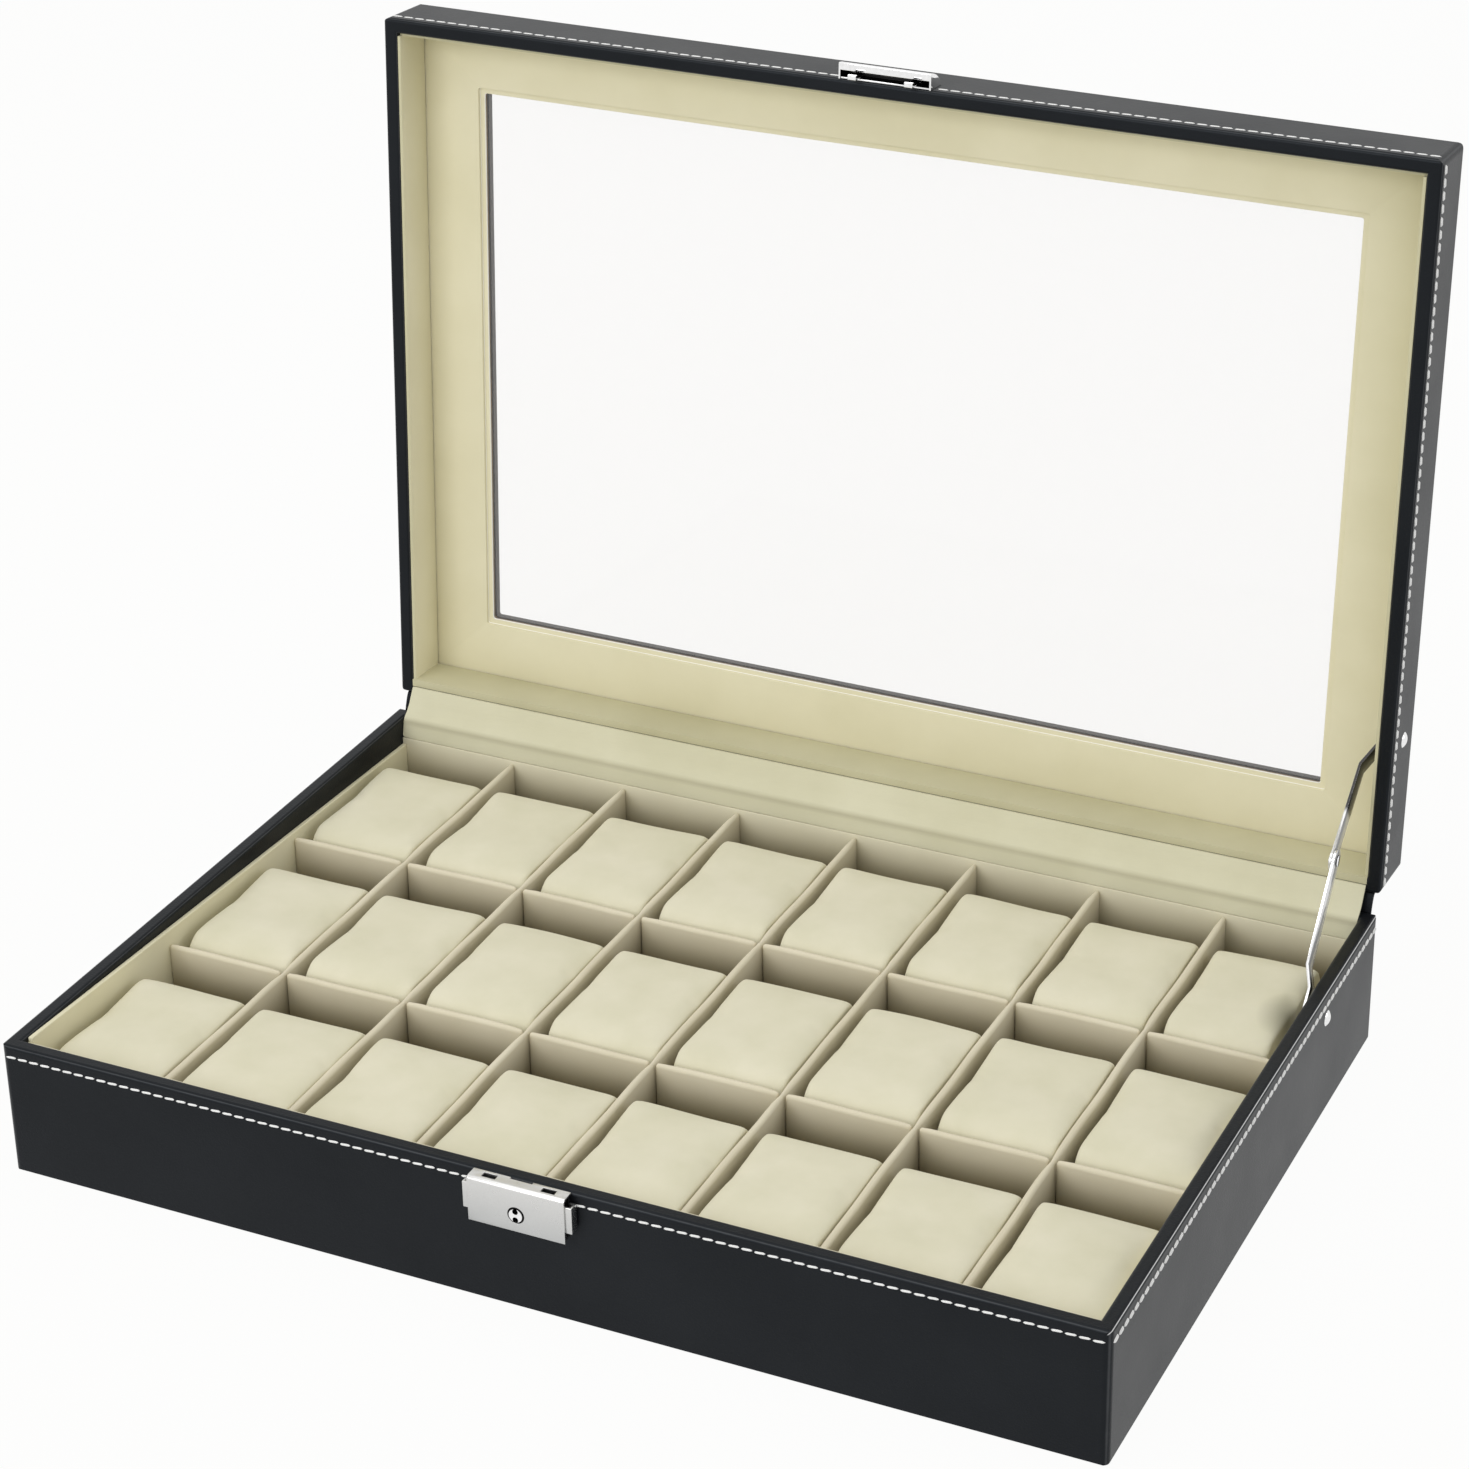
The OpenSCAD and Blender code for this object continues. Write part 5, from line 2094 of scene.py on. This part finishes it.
@dataclass
class CarriedSolids:
    """The solids that keep their shape and only get their finish."""

    nodes: dict[str, bpy.types.Object]

    def build(self, finishes: Finishes) -> None:
        """Gives each solid its material.

        Args:
            finishes: The box's materials.
        """
        for name, obj in self.nodes.items():
            dress(obj, self.finish_of(name, finishes))

    def finish_of(self, name: str, finishes: Finishes) -> bpy.types.Material:
        """Chooses a solid's material.

        Args:
            name: The node's name.
            finishes: The box's materials.

        Returns:
            The material.
        """
        if name.startswith("pillow"):
            return finishes.pillow
        if name == "lid_leather":
            return finishes.lid_leather
        if name.endswith("_leather"):
            return finishes.leather
        if name.endswith("_carcase"):
            return finishes.board
        if "divider" in name:
            return finishes.divider
        chosen = {
            "bottom_cover": finishes.under_cloth,
            "hinge_cloth": finishes.hinge_cloth,
            "window_glass": finishes.glass,
            "lid_mat": finishes.mat,
            "lid_linings": finishes.lid_lining,
            "floor_lining": finishes.floor_lining,
            "lock_cover": finishes.satin,
            "key_cylinder": finishes.satin,
            "lock_back_plate": finishes.steel,
            "lock_spring": finishes.steel,
        }
        if name in chosen:
            return chosen[name]
        if "lining" in name:
            return finishes.lining
        return finishes.chrome


# ---------------------------------------------------------------------------
# Studio
# ---------------------------------------------------------------------------


@dataclass
class Studio:
    """The camera, the lamps, the white surroundings and the floor."""

    eye: tuple[float, float, float] = (578.6, -1154.5, 844.6)
    forward: tuple[float, float, float] = (-0.37192, 0.80991, -0.45356)
    upward: tuple[float, float, float] = (-0.1809, 0.4160, 0.8912)
    focal_px: float = 3864.65
    centre_px: tuple[float, float] = (816.9, 676.7)
    frame_px: float = 1469.0
    sensor_mm: float = 36.0
    backdrop: Colour = (0.99, 0.99, 0.985)
    ambient: float = 0.62
    floor_glow: float = 0.97

    def camera(self) -> None:
        """Makes the camera at the viewing place and angle."""
        data = bpy.data.cameras.new("Camera")
        data.sensor_width = self.sensor_mm
        data.lens = self.focal_px / self.frame_px * self.sensor_mm
        data.shift_x = (self.frame_px / 2 - self.centre_px[0]) / self.frame_px
        data.shift_y = (self.centre_px[1] - self.frame_px / 2) / self.frame_px
        data.clip_start, data.clip_end = 0.05, 50
        obj = bpy.data.objects.new("Camera", data)
        bpy.context.scene.collection.objects.link(obj)
        back = -Vector(self.forward).normalized()
        right = Vector(self.upward).cross(back).normalized()
        up = back.cross(right)
        turn = Matrix((right, up, back)).transposed().to_4x4()
        obj.matrix_world = Matrix.Translation(Vector(self.eye) * MM) @ turn
        bpy.context.scene.camera = obj

    def lamp(
        self,
        name: str,
        place: Sequence[float],
        target: Sequence[float],
        size: Sequence[float],
        power: float,
    ) -> None:
        """Adds a soft white rectangular lamp.

        Args:
            name: The lamp's name.
            place: Where it hangs, in metres.
            target: What it looks at, in metres.
            size: Its width and height, in metres.
            power: Its power, in watts.
        """
        data = bpy.data.lights.new(name, "AREA")
        data.shape = "RECTANGLE"
        data.size, data.size_y = size
        data.energy = power
        obj = bpy.data.objects.new(name, data)
        bpy.context.scene.collection.objects.link(obj)
        obj.location = place
        aim = Vector(target) - Vector(place)
        obj.rotation_euler = aim.to_track_quat("-Z", "Y").to_euler()

    def looked_at(
        self, nodes: bpy.types.Nodes, links: bpy.types.NodeLinks
    ) -> bpy.types.NodeSocket:
        """Tells what the camera, metal or glass looks at from what gives light.

        Args:
            nodes: The nodes of a material or of the world.
            links: Their links.

        Returns:
            A value of 1 for rays that look, and 0 for rays that gather light.
        """
        path = nodes.new("ShaderNodeLightPath")
        value = path.outputs["Is Camera Ray"]
        for ray in ("Is Glossy Ray", "Is Transmission Ray"):
            most = nodes.new("ShaderNodeMath")
            most.operation = "MAXIMUM"
            links.new(value, most.inputs[0])
            links.new(path.outputs[ray], most.inputs[1])
            value = most.outputs["Value"]
        return value

    def world(self) -> None:
        """Makes the even surroundings, which look white to the camera, metal and glass."""
        world = bpy.data.worlds.new("Surroundings")
        bpy.context.scene.world = world
        world.use_nodes = True
        nodes, links = world.node_tree.nodes, world.node_tree.links
        light = nodes["Background"]
        light.inputs["Color"].default_value = (1.0, 1.0, 1.0, 1)
        light.inputs["Strength"].default_value = self.ambient
        white = nodes.new("ShaderNodeBackground")
        white.inputs["Color"].default_value = (*self.backdrop, 1)
        white.inputs["Strength"].default_value = 1.0
        mix = nodes.new("ShaderNodeMixShader")
        links.new(self.looked_at(nodes, links), mix.inputs["Fac"])
        links.new(light.outputs["Background"], mix.inputs[1])
        links.new(white.outputs["Background"], mix.inputs[2])
        links.new(mix.outputs["Shader"], nodes["World Output"].inputs["Surface"])

    def floor(self) -> None:
        """Makes the pale floor, which keeps a faint shadow."""
        deselect()
        bpy.ops.mesh.primitive_plane_add(size=8, location=(0, 0, -0.0004))
        obj = settle(bpy.context.object)
        obj.name = "Floor"
        t = Tree("Pale floor")
        t.feed(t.ramp(t.noise(2.0), (0.80, 0.80, 0.795), (0.82, 0.82, 0.815)), "Base Color")
        t.set(Roughness=0.9, Specular_IOR_Level=0.0)
        glow = t.add("ShaderNodeEmission")
        glow.inputs["Color"].default_value = (*self.backdrop, 1)
        share = t.combine("MULTIPLY", self.looked_at(t.nodes, t.links), self.floor_glow)
        mix = t.add("ShaderNodeMixShader")
        t.links.new(share, mix.inputs["Fac"])
        t.links.new(t.shader.outputs["BSDF"], mix.inputs[1])
        t.links.new(glow.outputs["Emission"], mix.inputs[2])
        t.links.new(mix.outputs["Shader"], t.output.inputs["Surface"])
        dress(obj, t.material)

    def build(self) -> None:
        """Sets up everything round the object."""
        self.camera()
        self.world()
        self.floor()
        self.lamp("Overhead softbox", (-0.2, -0.2, 1.7), (0, 0, 0.1), (1.6, 1.3), 6)
        self.lamp("Front softbox", (-0.7, -2.0, 1.25), (0, 0, 0.15), (1.6, 1.2), 19)
        self.lamp("Right softbox", (1.9, 0.5, 0.75), (0.1, 0, 0.15), (1.1, 1.0), 3.0)
        bpy.context.scene.view_settings.view_transform = "Standard"


# ---------------------------------------------------------------------------


def main() -> None:
    """Builds the dressed watch box in its studio."""
    logging.basicConfig(level=logging.INFO, format="%(name)s: %(message)s")
    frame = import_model()
    studio = Studio()
    studio.build()
    finishes = Finishes()
    CarriedSolids(frame["nodes"]).build(finishes)
    VelvetBoards(frame["nodes"]).build(finishes)
    Metalwork(frame["nodes"]).build(finishes)
    Pillows().build(finishes)
    Stitching().build(finishes)
    Hinge().build(finishes)


if __name__ == "__main__":
    main()
